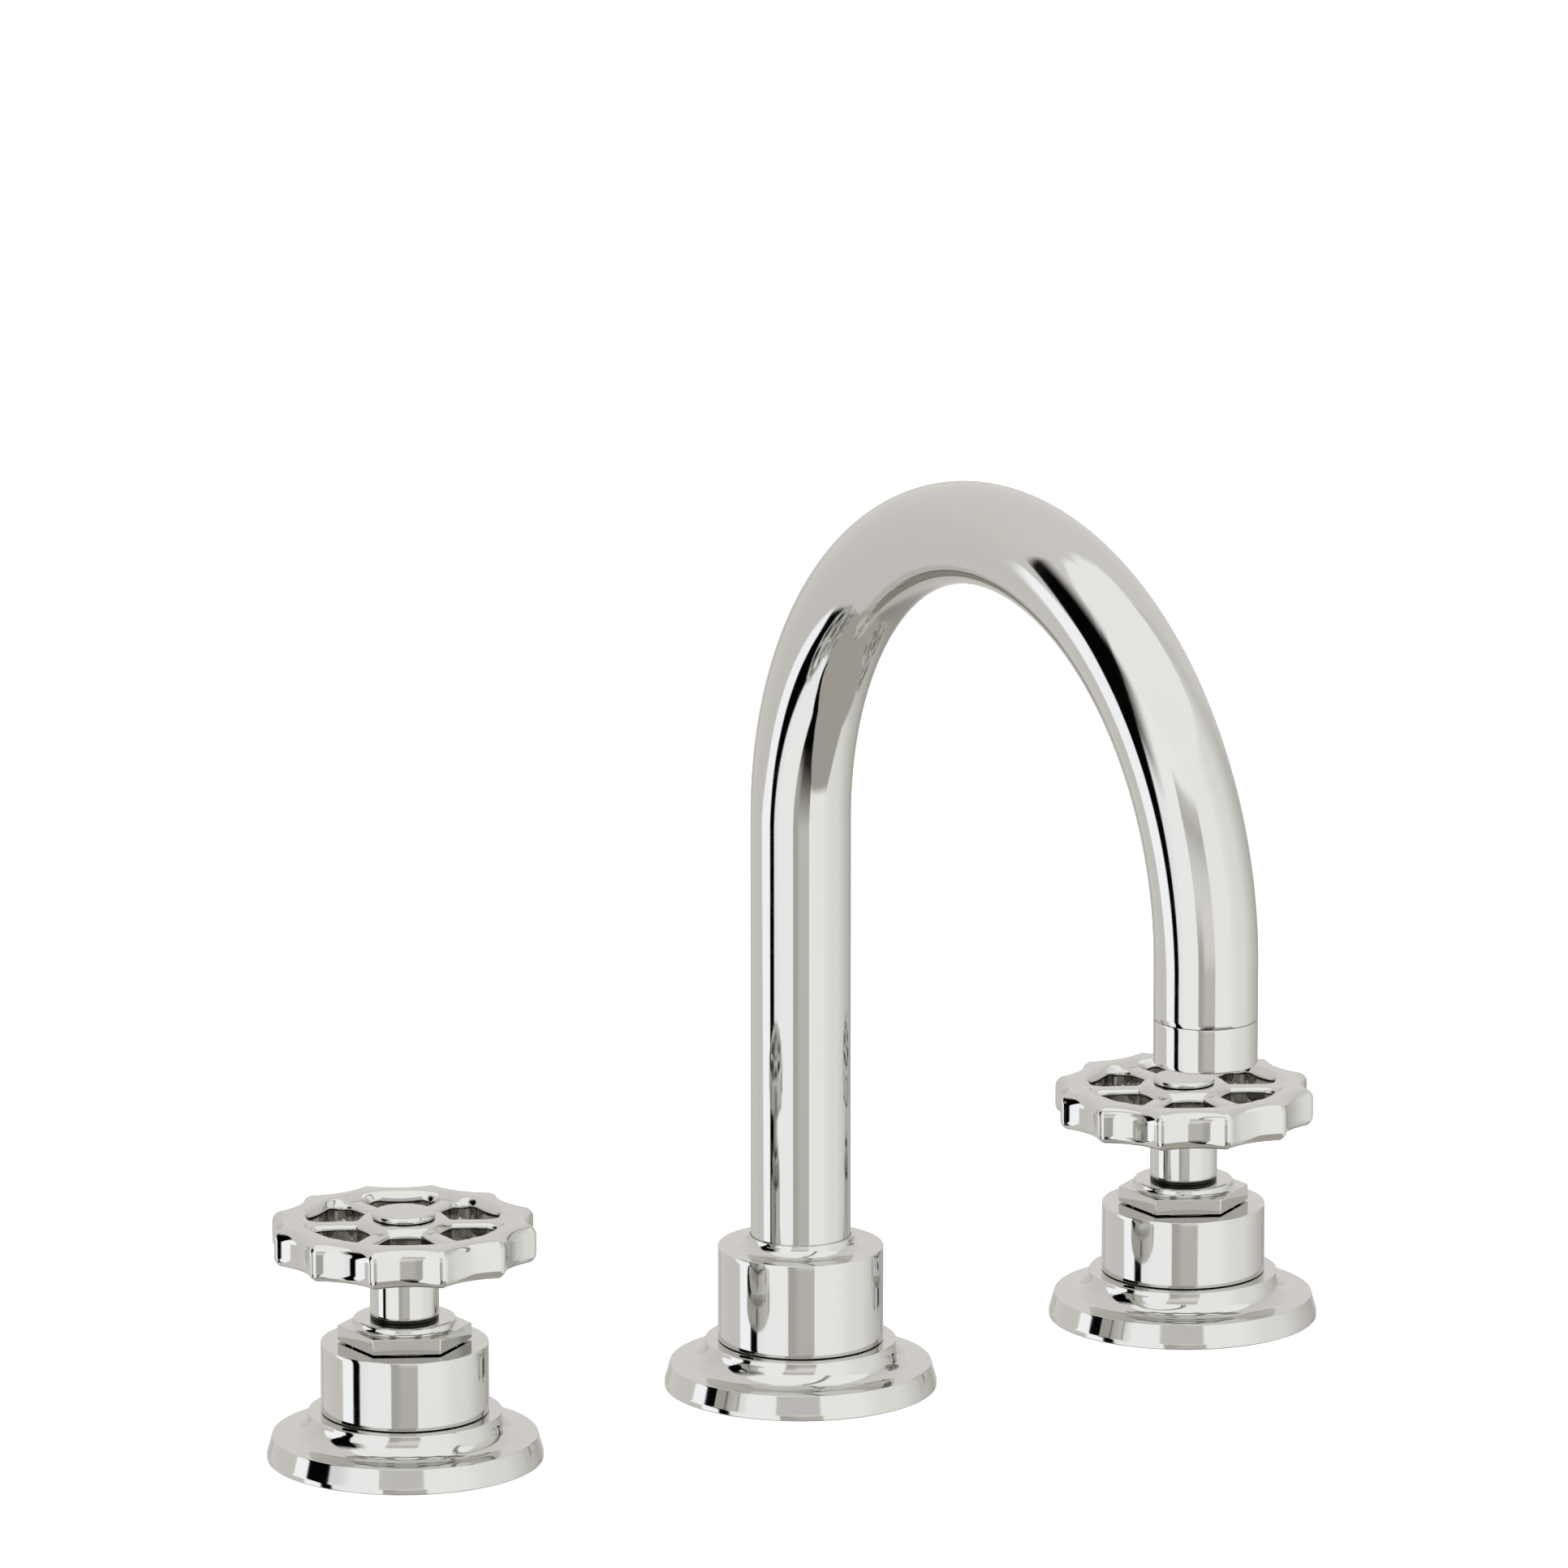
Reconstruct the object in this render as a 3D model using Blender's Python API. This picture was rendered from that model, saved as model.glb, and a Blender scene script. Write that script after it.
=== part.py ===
"""Widespread bathroom faucet: two handwheel valves and a swivelling high-arc spout.

Metres, +Z up. The deck's surface is the plane z = 0. The origin is the centre of the
spout's base on the deck, +X runs along the three holes to the cold side and -Y runs
towards the user. What lies below z = 0 hangs under the deck.
"""
import math

import bmesh
import bpy
from mathutils import Matrix, Vector

MM = 0.001
TURN = math.tau

# Shared fits
GAP = 0.3 * MM               # room between pieces that seat on, or pass through, each other
OVERRUN = 2 * MM             # how far a cutter runs past what it cuts
SHARP_ANGLE = math.radians(35)

# Numbers of sides of the turned pieces
FLANGE_SIDES = 28
HUB_SIDES = 24               # also the nuts': a multiple of 12 carries six corners
SCREW_SIDES = 12
PLAIN_SIDES = 16
TUBE_SIDES = 16
ARCH_STEPS = 20
COVE_STEPS = 3
BONNET_COVE_STEPS = 2
BAND_STEPS = 5

# Layout
CENTRES = 203.2 * MM         # hot valve to cold valve, 8 inches
DECK_THICKNESS = 25 * MM     # the counter that the nuts are set for

# Spout tube
TUBE_RADIUS = 10.93 * MM
TUBE_WALL = 1.5 * MM
ARCH_RADIUS = 76.05 * MM     # centreline of the half-circle
RISER_TOP = 127.1 * MM       # height at which the arch starts
OUTLET_STRAIGHT = 11.4 * MM
TUBE_BORE = TUBE_RADIUS - TUBE_WALL
TUBE_END = RISER_TOP - OUTLET_STRAIGHT

# Spindle
SPINDLE_RADIUS = 4.0 * MM
SPLINE_DEPTH = 0.4 * MM
SPINDLE_COLLAR_WIDTH = 2.3 * MM
SPINDLE_COLLAR_HEIGHT = 2.5 * MM
SPINDLE_BOSS_WIDTH = 1.5 * MM
BLADE_WIDTH = 4.0 * MM
BLADE_SINK = 0.9 * MM        # how far the blade reaches into the upper disc's groove
BLADE_HEIGHT = 4.1 * MM
STOP_LUG_REACH = 1.8 * MM
STOP_LUG_ANGLE = math.radians(30)
STOP_SLACK_ANGLE = math.radians(3)
STOP_LUG_STEPS = 2
HANDLE_TURN = math.radians(90)
SPINDLE_HOLE = SPINDLE_RADIUS + GAP
SPINDLE_COLLAR_RADIUS = SPINDLE_RADIUS + SPINDLE_COLLAR_WIDTH

# Cartridge around the spindle, and the valve body's bore around the cartridge
CARTRIDGE_WALL = 1.2 * MM
BODY_ANNULUS = 1.6 * MM      # water's way down around the cartridge
BODY_WALL = 2.8 * MM
DISC_RADIUS = SPINDLE_COLLAR_RADIUS + STOP_LUG_REACH
CARTRIDGE_BORE_RADIUS = DISC_RADIUS + GAP
CARTRIDGE_OUTER_RADIUS = CARTRIDGE_BORE_RADIUS + CARTRIDGE_WALL
BODY_BORE_RADIUS = CARTRIDGE_OUTER_RADIUS + BODY_ANNULUS

# Threaded shanks that pass through the deck: both valves' and the spout's
SHANK_RADIUS = BODY_BORE_RADIUS + BODY_WALL
SHANK_HOLE = SHANK_RADIUS + GAP
PORT_RADIUS = 10.3 * MM      # straight pipe thread, nominal half inch
PORT_LENGTH = 15 * MM
PORT_HOLE = PORT_RADIUS + GAP

# Hubs
HUB_WALL = 3.76 * MM
HUB_RADIUS = SHANK_HOLE + HUB_WALL
HUB_BEVEL = 0.3 * MM
VALVE_HUB_HEIGHT = 15.0 * MM

# Flange, the same under both valves and the spout
FLANGE_STEP_LEDGE = 2.79 * MM
FLANGE_STEP_WALL = 0.85 * MM
FLANGE_COVE = 4.1 * MM
FLANGE_BRIM = 4.71 * MM
FLANGE_SLANT = 1.16 * MM
FLANGE_EDGE_HEIGHT = 5.2 * MM
FLANGE_EDGE_BEVEL = 0.25 * MM
FLANGE_RISE = 0.2 * MM
FLANGE_RIM_WALL = 2.26 * MM
FLANGE_TOP_WALL = 2.4 * MM
FLANGE_POCKET_ROOM = 4.1 * MM
FLANGE_POCKET_SLOPE = 3.6 * MM
GASKET_FIT = 0.4 * MM
FLANGE_STEP_RADIUS = HUB_RADIUS + FLANGE_STEP_LEDGE
FLANGE_RADIUS = FLANGE_STEP_RADIUS + FLANGE_COVE + FLANGE_BRIM
FLANGE_TOP_RADIUS = FLANGE_RADIUS - FLANGE_SLANT
FLANGE_COVE_BOTTOM = FLANGE_EDGE_HEIGHT + FLANGE_RISE
FLANGE_HEIGHT = FLANGE_COVE_BOTTOM + FLANGE_COVE + FLANGE_STEP_WALL
FLANGE_RECESS = FLANGE_EDGE_HEIGHT - FLANGE_TOP_WALL
FLANGE_POCKET_RADIUS = SHANK_HOLE + FLANGE_POCKET_ROOM

# Nut above the deck, inside the flange
MOUNTING_NUT_ROOM = 0.5 * MM
MOUNTING_NUT_HEIGHT = 4.0 * MM
MOUNTING_NUT_CORNER_RADIUS = FLANGE_POCKET_RADIUS - MOUNTING_NUT_ROOM

# Washers and nut below the deck
DECK_WASHER_WIDTH = 9.7 * MM
DECK_WASHER_THICKNESS = 3 * MM
METAL_WASHER_WIDTH = 7.7 * MM
METAL_WASHER_THICKNESS = 1.5 * MM
LOCK_NUT_WIDTH = 6.5 * MM    # from the bore to a corner
LOCK_NUT_HEIGHT = 8 * MM
SHANK_SPARE_THREAD = 2.5 * MM
DECK_WASHER_TOP = -DECK_THICKNESS
DECK_WASHER_BOTTOM = DECK_WASHER_TOP - DECK_WASHER_THICKNESS
METAL_WASHER_TOP = DECK_WASHER_BOTTOM - GAP
METAL_WASHER_BOTTOM = METAL_WASHER_TOP - METAL_WASHER_THICKNESS
LOCK_NUT_TOP = METAL_WASHER_BOTTOM - GAP
LOCK_NUT_BOTTOM = LOCK_NUT_TOP - LOCK_NUT_HEIGHT
SHANK_BOTTOM = LOCK_NUT_BOTTOM - SHANK_SPARE_THREAD

# Bonnet nut
BONNET_SKIRT_OVERLAP = 0.3 * MM
BONNET_SKIRT_LENGTH = 4.95 * MM
BONNET_HEX_LEDGE = 2.89 * MM
BONNET_HEX_HEIGHT = 3.25 * MM
BONNET_COLLAR_STEP = 0.5 * MM
BONNET_COLLAR_HEIGHT = 1.65 * MM
BONNET_COVE = 1.1 * MM
BONNET_SKIRT_RADIUS = BODY_BORE_RADIUS + BONNET_SKIRT_OVERLAP
BONNET_CORNER_RADIUS = BONNET_SKIRT_RADIUS + BONNET_HEX_LEDGE
BONNET_COLLAR_RADIUS = BONNET_SKIRT_RADIUS - BONNET_COLLAR_STEP

# Cartridge's other sizes
CARTRIDGE_COLLAR_OVERLAP = 1.4 * MM
CARTRIDGE_COLLAR_HEIGHT = 2.5 * MM
CARTRIDGE_NECK_HEIGHT = 4.1 * MM
CARTRIDGE_WIDE_LENGTH = 8.7 * MM
CARTRIDGE_TAIL = 5.7 * MM    # housing below the sliding faces of the discs
WINDOW_WIDTH = 7 * MM
WINDOW_HEIGHT = 6 * MM
DISC_THICKNESS = 3 * MM
DISC_PORT_RIM = 1.5 * MM
DISC_PORT_LAND = 1.4 * MM
DISC_PORT_ANGLE = math.radians(80)
DISC_PORT_STEPS = 3
SEAT_SEAL_HEIGHT = 2.8 * MM
O_RING_THICKNESS = 1.6 * MM
O_RING_GROOVE = O_RING_THICKNESS + 2 * GAP

# Valve body below the cartridge
INLET_SEAT_STEP = 1.0 * MM
INLET_TUBE_WALL = 2.5 * MM
INLET_MOUTH_WALL = 3.8 * MM
INLET_MOUTH_SEAT = 3 * MM
INLET_CONE = 1.6 * MM
BODY_SHOULDER = 1.0 * MM
BODY_CHAMBER_LENGTH = 17.5 * MM
BODY_FLOOR = 3.2 * MM
BODY_CHAMFER = 2 * MM
OUTLET_RADIUS = 7.1 * MM
OUTLET_WALL = 2.5 * MM
OUTLET_LENGTH = 12 * MM
OUTLET_ROOT_WALL = 0.4 * MM
INLET_TUBE_RADIUS = CARTRIDGE_BORE_RADIUS - INLET_SEAT_STEP
INLET_TUBE_BORE = INLET_TUBE_RADIUS - INLET_TUBE_WALL
CHAMBER_BOTTOM = SHANK_BOTTOM - BODY_CHAMBER_LENGTH
OUTLET_HEIGHT = SHANK_BOTTOM - BODY_CHAMBER_LENGTH / 2
BODY_BOTTOM = CHAMBER_BOTTOM - BODY_CHAMFER
INLET_BOTTOM = BODY_BOTTOM - PORT_LENGTH

# Handwheel
SLEEVE_WALL = 3.15 * MM
SLEEVE_LENGTH = 12.6 * MM
WHEEL_THICKNESS = 8.3 * MM
WHEEL_RADIUS = 28.9 * MM
WHEEL_LOBES = 12
SCALLOP_DEPTH = 2.5 * MM
SCALLOP_STEPS = 4
LOBE_LAND = 1.2 * MM         # what the scallops leave of the round rim at each lobe
WHEEL_EDGE = 1.1 * MM
LOBE_CORNER_OVER_EDGE = 0.1 * MM
WHEEL_RIM_WIDTH = 5.0 * MM
WHEEL_SPOKES = 6
SPOKE_WIDTH = 4.4 * MM
WINDOW_TO_SLEEVE = 2.05 * MM
WINDOW_CORNER = 1.8 * MM
WINDOW_CORNER_STEPS = 2
WINDOW_ARC_STEPS = 4
WHEEL_WEB_THICKNESS = 1.6 * MM
LOBE_CORNER = WHEEL_EDGE + LOBE_CORNER_OVER_EDGE
SLEEVE_RADIUS = SPINDLE_HOLE + SLEEVE_WALL
WINDOW_INNER_EDGE = SLEEVE_RADIUS + WINDOW_TO_SLEEVE
WINDOW_OUTER_RADIUS = WHEEL_RADIUS - SCALLOP_DEPTH - WHEEL_RIM_WIDTH

# Glide bush, the dark ring under the handwheel's sleeve
BUSH_RADIUS = SLEEVE_RADIUS
BUSH_FLANGE_THICKNESS = 0.6 * MM
BUSH_SPIGOT_WALL = 1.6 * MM
BUSH_SPIGOT_LENGTH = 3.6 * MM
BUSH_SPIGOT_ROOM = 0.75 * MM # between the spigot and the bonnet nut's floor
BUSH_SPIGOT_RADIUS = SPINDLE_HOLE + BUSH_SPIGOT_WALL

# Handle screw and cap
SCREW_RADIUS = 2.0 * MM
SCREW_HEAD_LEDGE = 1.8 * MM
SCREW_HEAD_HEIGHT = 2.4 * MM
SCREW_LENGTH = 10.5 * MM
SCREW_SOCKET_DEPTH = 1.5 * MM
SCREW_SOCKET_WALL = 2.1 * MM
SCREW_HEAD_ROOM = 1.5 * MM
SCREW_TO_CAP = 0.9 * MM
TAPPED_SPARE_DEPTH = 1.2 * MM
CAP_OVERLAP = 1.48 * MM
CAP_THICKNESS = 1.15 * MM
CAP_EDGE = 0.5 * MM
CAP_PLUG_LENGTH = 1.6 * MM
CAP_PLUG_WALL = 1.2 * MM
SCREW_HOLE = SCREW_RADIUS + GAP
SCREW_HEAD_RADIUS = SCREW_RADIUS + SCREW_HEAD_LEDGE
WHEEL_COUNTERBORE = SCREW_HEAD_RADIUS + SCREW_HEAD_ROOM
WHEEL_COUNTERBORE_DEPTH = SCREW_HEAD_HEIGHT + SCREW_TO_CAP + CAP_PLUG_LENGTH
CAP_RADIUS = WHEEL_COUNTERBORE + CAP_OVERLAP

# Heights of the valve, from the flange up to the wheel, then down through the cartridge
HUB_BOTTOM = FLANGE_HEIGHT + GAP
VALVE_HUB_TOP = HUB_BOTTOM + VALVE_HUB_HEIGHT
BONNET_HEX_BOTTOM = VALVE_HUB_TOP + GAP
BONNET_BOTTOM = BONNET_HEX_BOTTOM - BONNET_SKIRT_LENGTH
BONNET_HEX_TOP = BONNET_HEX_BOTTOM + BONNET_HEX_HEIGHT
BONNET_TOP = BONNET_HEX_TOP + BONNET_COLLAR_HEIGHT
BUSH_BOTTOM = BONNET_TOP + GAP
BUSH_SPIGOT_BOTTOM = BUSH_BOTTOM - BUSH_SPIGOT_LENGTH
BUSH_TOP = BUSH_BOTTOM + BUSH_FLANGE_THICKNESS
SLEEVE_BOTTOM = BUSH_TOP + GAP
WHEEL_BOTTOM = SLEEVE_BOTTOM + SLEEVE_LENGTH
WHEEL_TOP = WHEEL_BOTTOM + WHEEL_THICKNESS
WEB_TOP = WHEEL_TOP - WHEEL_COUNTERBORE_DEPTH
WEB_BOTTOM = WEB_TOP - WHEEL_WEB_THICKNESS
SPINDLE_TOP = WEB_BOTTOM - GAP
CARTRIDGE_TOP = BONNET_BOTTOM - GAP
CARTRIDGE_COLLAR_BOTTOM = CARTRIDGE_TOP - CARTRIDGE_COLLAR_HEIGHT
BODY_TOP = CARTRIDGE_COLLAR_BOTTOM - GAP
O_RING_SEAT = CARTRIDGE_TOP - O_RING_GROOVE
NECK_BOTTOM = O_RING_SEAT - CARTRIDGE_NECK_HEIGHT
COLLAR_TOP = NECK_BOTTOM - GAP
COLLAR_BOTTOM = COLLAR_TOP - SPINDLE_COLLAR_HEIGHT
WINDOW_TOP = COLLAR_BOTTOM - 2 * GAP
WINDOW_BOTTOM = WINDOW_TOP - WINDOW_HEIGHT
UPPER_DISC_TOP = WINDOW_BOTTOM - GAP
UPPER_DISC_BOTTOM = UPPER_DISC_TOP - DISC_THICKNESS
LOWER_DISC_TOP = UPPER_DISC_BOTTOM - GAP
LOWER_DISC_BOTTOM = LOWER_DISC_TOP - DISC_THICKNESS
CARTRIDGE_BOTTOM = LOWER_DISC_TOP - CARTRIDGE_TAIL
SEAL_TOP = LOWER_DISC_BOTTOM - GAP
SEAL_BOTTOM = SEAL_TOP - SEAT_SEAL_HEIGHT
INLET_TUBE_TOP = SEAL_BOTTOM - GAP

# Spout's post, bearings and set screw
POST_STEP = 1.1 * MM
POST_LOW_LAND = 1.15 * MM
POST_GROOVE_LAND = 1.8 * MM
POST_TOP_LAND = 2.0 * MM
POST_WALL = 1.87 * MM
POST_TO_HUB = 0.7 * MM       # the seals stand proud of the post by less
SHANK_BELOW_FLANGE_TOP = 2.35 * MM
SPOUT_BUSH_RIM = 1.3 * MM
SPOUT_BUSH_STEP_HEIGHT = 2.4 * MM
STOP_GROOVE_DEPTH = 1.3 * MM
SET_SCREW_RADIUS = 2.0 * MM
SET_SCREW_SINK = 0.5 * MM
SET_SCREW_SOCKET_WALL = 0.85 * MM
SET_SCREW_SOCKET_DEPTH = 1.8 * MM
SPOUT_SWIVEL = math.radians(60)
POST_RADIUS = SHANK_RADIUS - POST_STEP
POST_GROOVE_RADIUS = POST_RADIUS - O_RING_THICKNESS
POST_BORE = POST_GROOVE_RADIUS - POST_WALL
HUB_BORE = POST_RADIUS + POST_TO_HUB
STOP_GROOVE_RADIUS = POST_RADIUS - STOP_GROOVE_DEPTH
SET_SCREW_HOLE = SET_SCREW_RADIUS + GAP
SPOUT_BUSH_RADIUS = SHANK_RADIUS + SPOUT_BUSH_RIM
SHANK_TOP = FLANGE_HEIGHT - SHANK_BELOW_FLANGE_TOP
SPOUT_BUSH_BOTTOM = SHANK_TOP + GAP
SPOUT_BUSH_TOP = HUB_BOTTOM + SPOUT_BUSH_STEP_HEIGHT
SET_SCREW_HEIGHT = SPOUT_BUSH_TOP + GAP + SET_SCREW_HOLE
LOWER_GROOVE_BOTTOM = SET_SCREW_HEIGHT + SET_SCREW_HOLE + POST_LOW_LAND
LOWER_GROOVE_TOP = LOWER_GROOVE_BOTTOM + O_RING_GROOVE
UPPER_GROOVE_BOTTOM = LOWER_GROOVE_TOP + POST_GROOVE_LAND
UPPER_GROOVE_TOP = UPPER_GROOVE_BOTTOM + O_RING_GROOVE
POST_TOP = UPPER_GROOVE_TOP + POST_TOP_LAND

# Spout's hub above the post
SPOUT_LEDGE = 1.4 * MM
SPOUT_SOCKET_DEPTH = 5.0 * MM
SPOUT_HUB_COVE = 2.6 * MM
SPOUT_SOCKET_RADIUS = TUBE_RADIUS + GAP
LEDGE_BOTTOM = POST_TOP + GAP
LEDGE_TOP = LEDGE_BOTTOM + SPOUT_LEDGE
TUBE_BOTTOM = LEDGE_TOP + GAP
SPOUT_NECK_TOP = LEDGE_TOP + SPOUT_SOCKET_DEPTH
SPOUT_HUB_TOP = SPOUT_NECK_TOP - SPOUT_HUB_COVE

# Nipple and tee under the spout
NIPPLE_WALL = 4.3 * MM
NIPPLE_LENGTH = 12 * MM
NIPPLE_CONE = 2 * MM
TEE_WASHER_THICKNESS = 1.7 * MM
TEE_COLLAR_HEIGHT = 2.3 * MM
TEE_COLLAR_LEDGE = 2.0 * MM
TEE_NECK_LENGTH = 5.4 * MM
TEE_RUN_OVER_NECK = 0.6 * MM
TEE_NIPPLE_STEP = 1.5 * MM
TEE_WALL = 2.5 * MM
TEE_BODY_END = 7 * MM
TEE_NIPPLE_LENGTH = 14 * MM
TEE_NUT_WIDTH = 3.8 * MM     # from the bore to a corner
TEE_NUT_GRIP = 4.8 * MM
TEE_NUT_LIP = 2.3 * MM
NIPPLE_BORE = PORT_RADIUS - NIPPLE_WALL
TEE_COLLAR_RADIUS = PORT_RADIUS - GAP
TEE_NECK_RADIUS = TEE_COLLAR_RADIUS - TEE_COLLAR_LEDGE
TEE_RADIUS = TEE_NECK_RADIUS + TEE_RUN_OVER_NECK
TEE_NIPPLE_RADIUS = TEE_RADIUS - TEE_NIPPLE_STEP
TEE_BORE = TEE_NIPPLE_RADIUS - TEE_WALL
TEE_BODY_HALF_LENGTH = TEE_NECK_RADIUS + TEE_BODY_END
TEE_HALF_LENGTH = TEE_BODY_HALF_LENGTH + TEE_NIPPLE_LENGTH
NIPPLE_BOTTOM = SHANK_BOTTOM - NIPPLE_LENGTH
TEE_WASHER_TOP = NIPPLE_BOTTOM - GAP
TEE_WASHER_BOTTOM = TEE_WASHER_TOP - TEE_WASHER_THICKNESS
TEE_TOP = TEE_WASHER_BOTTOM - GAP
TEE_COLLAR_BOTTOM = TEE_TOP - TEE_COLLAR_HEIGHT
TEE_NUT_SEAT = TEE_COLLAR_BOTTOM - GAP
TEE_NUT_BOTTOM = TEE_NUT_SEAT - TEE_NUT_LIP
TEE_NUT_TOP = NIPPLE_BOTTOM + TEE_NUT_GRIP
TEE_CENTRE = TEE_COLLAR_BOTTOM - TEE_NECK_LENGTH - TEE_RADIUS

# Aerator
AERATOR_HEIGHT = 9.3 * MM
AERATOR_BEVEL = 0.4 * MM
AERATOR_SPIGOT_LENGTH = 4.9 * MM
AERATOR_WALL = 0.83 * MM
AERATOR_LIP = 0.7 * MM
AERATOR_LIP_HEIGHT = 1.2 * MM
AERATOR_HOLES = 6
AERATOR_HOLE_SIDES = 8
AERATOR_HOLE_SHARE = 0.1875        # of the insert's radius
AERATOR_HOLE_CIRCLE_SHARE = 0.6125 # of the insert's radius
AERATOR_WASHER_THICKNESS = 1.6 * MM
AERATOR_WASHER_WIDTH = 2.73 * MM
AERATOR_TOP = TUBE_END - GAP
AERATOR_BOTTOM = AERATOR_TOP - AERATOR_HEIGHT
AERATOR_SEAT = AERATOR_BOTTOM + AERATOR_LIP_HEIGHT
SPIGOT_TOP = AERATOR_TOP + AERATOR_SPIGOT_LENGTH
SPIGOT_RADIUS = TUBE_BORE - GAP
AERATOR_BORE = SPIGOT_RADIUS - AERATOR_WALL


def clear_scene():
    """Remove every object that the file opened with."""
    for item in list(bpy.data.objects):
        bpy.data.objects.remove(item)


def metal_or_plastic(name, colour, roughness, metallic):
    """A Principled material in one colour."""
    made = bpy.data.materials.new(name)
    made.use_nodes = True
    shader = made.node_tree.nodes["Principled BSDF"]
    shader.inputs["Base Color"].default_value = (*colour, 1)
    shader.inputs["Roughness"].default_value = roughness
    shader.inputs["Metallic"].default_value = metallic
    return made


# Cross-sections of turned pieces, as the share of the ring's radius at each vertex
def round_share(index, sides):
    """A circle."""
    return 1


def hexagon_share(index, sides):
    """A hexagon with corners on the Y axis, measured to its corners."""
    sixth = TURN / 6
    from_corner = (TURN * index / sides - sixth / 2) % sixth
    return math.cos(sixth / 2) / math.cos(from_corner - sixth / 2)


def spline_share(index, sides):
    """Teeth and roots by turns."""
    return 1 if index % 2 else 1 - SPLINE_DEPTH / SPINDLE_RADIUS


def ring(mesh, radius, height, sides, share=round_share):
    """Vertices around the Z axis, or one vertex where the radius is nothing."""
    if radius == 0:
        return [mesh.verts.new((0, 0, height))]
    corners = []
    for index in range(sides):
        angle = TURN * index / sides
        reach = radius * share(index, sides)
        corners.append(mesh.verts.new((reach * math.cos(angle), reach * math.sin(angle), height)))
    return corners


def flat_loop(mesh, points, height):
    """Vertices along an outline at one height."""
    return [mesh.verts.new((across, along, height)) for across, along in points]


def skin(mesh, loops, closed=False):
    """Faces between each loop and the next, with a fan where a loop is one vertex."""
    followers = loops[1:] + loops[:1] if closed else loops[1:]
    for lower, upper in zip(loops, followers):
        for index in range(max(len(lower), len(upper))):
            after = index + 1
            corners = [lower[index % len(lower)], lower[after % len(lower)],
                       upper[after % len(upper)], upper[index % len(upper)]]
            mesh.faces.new(list(dict.fromkeys(corners)))


def fill(mesh, loops):
    """A flat face inside the first loop and outside the others."""
    edges = []
    for loop in loops:
        for first, second in zip(loop, loop[1:] + loop[:1]):
            edge = mesh.edges.get((first, second)) or mesh.edges.new((first, second))
            edges.append(edge)
    bmesh.ops.triangle_fill(mesh, edges=edges, use_beauty=True)


def finish(mesh, name, material, parent):
    """Turn the built mesh into a named object under its parent."""
    bmesh.ops.recalc_face_normals(mesh, faces=mesh.faces)
    data = bpy.data.meshes.new(name)
    mesh.to_mesh(data)
    mesh.free()
    data.shade_smooth()
    data.set_sharp_from_angle(angle=SHARP_ANGLE)
    made = bpy.data.objects.new(name, data)
    bpy.context.scene.collection.objects.link(made)
    made.parent = parent
    if material:
        data.materials.append(material)
    return made


def turned(name, profile, material, parent, sides=PLAIN_SIDES):
    """A piece turned about Z. The profile goes once round the section, or from axis to axis."""
    mesh = bmesh.new()
    loops = [ring(mesh, point[0], point[1], sides, *point[2:]) for point in profile]
    skin(mesh, loops, closed=profile[0][0] > 0)
    return finish(mesh, name, material, parent)


def plate(name, outline, holes, bottom, top, material, parent):
    """A flat piece with straight walls and through holes."""
    mesh = bmesh.new()
    lower = [flat_loop(mesh, points, bottom) for points in [outline, *holes]]
    upper = [flat_loop(mesh, points, top) for points in [outline, *holes]]
    for low, high in zip(lower, upper):
        skin(mesh, [low, high])
    fill(mesh, lower)
    fill(mesh, upper)
    return finish(mesh, name, material, parent)


def circle_points(radius, sides, centre=(0, 0)):
    """Corners of a circle's polygon."""
    points = []
    for index in range(sides):
        angle = TURN * index / sides
        points.append((centre[0] + radius * math.cos(angle), centre[1] + radius * math.sin(angle)))
    return points


def arc(centre, radius, start, end, steps):
    """Points along an arc in a profile or an outline, both ends included."""
    points = []
    for index in range(steps + 1):
        angle = start + (end - start) * index / steps
        points.append((centre[0] + radius * math.cos(angle), centre[1] + radius * math.sin(angle)))
    return points


def sector_points(inner, outer, middle, width, steps):
    """Outline of a ring sector about the Z axis."""
    outside = arc((0, 0), outer, middle - width / 2, middle + width / 2, steps)
    inside = arc((0, 0), inner, middle + width / 2, middle - width / 2, steps)
    return outside + inside


def box_points(length, width):
    """Outline of a rectangle centred on the Z axis."""
    return [(length / 2, -width / 2), (length / 2, width / 2),
            (-length / 2, width / 2), (-length / 2, -width / 2)]


def change(target, tool, operation):
    """Join the tool to the target, or cut it away, with a live Boolean."""
    tool.hide_render = True
    tool.display_type = "WIRE"
    boolean = target.modifiers.new(tool.name, "BOOLEAN")
    boolean.operation = operation
    boolean.solver = "EXACT"
    boolean.object = tool


def empty(name, location, parent=None, turn=0):
    """A frame that pieces are placed by."""
    made = bpy.data.objects.new(name, None)
    bpy.context.scene.collection.objects.link(made)
    made.location = location
    made.rotation_euler = (0, 0, turn)
    made.parent = parent
    return made


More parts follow.
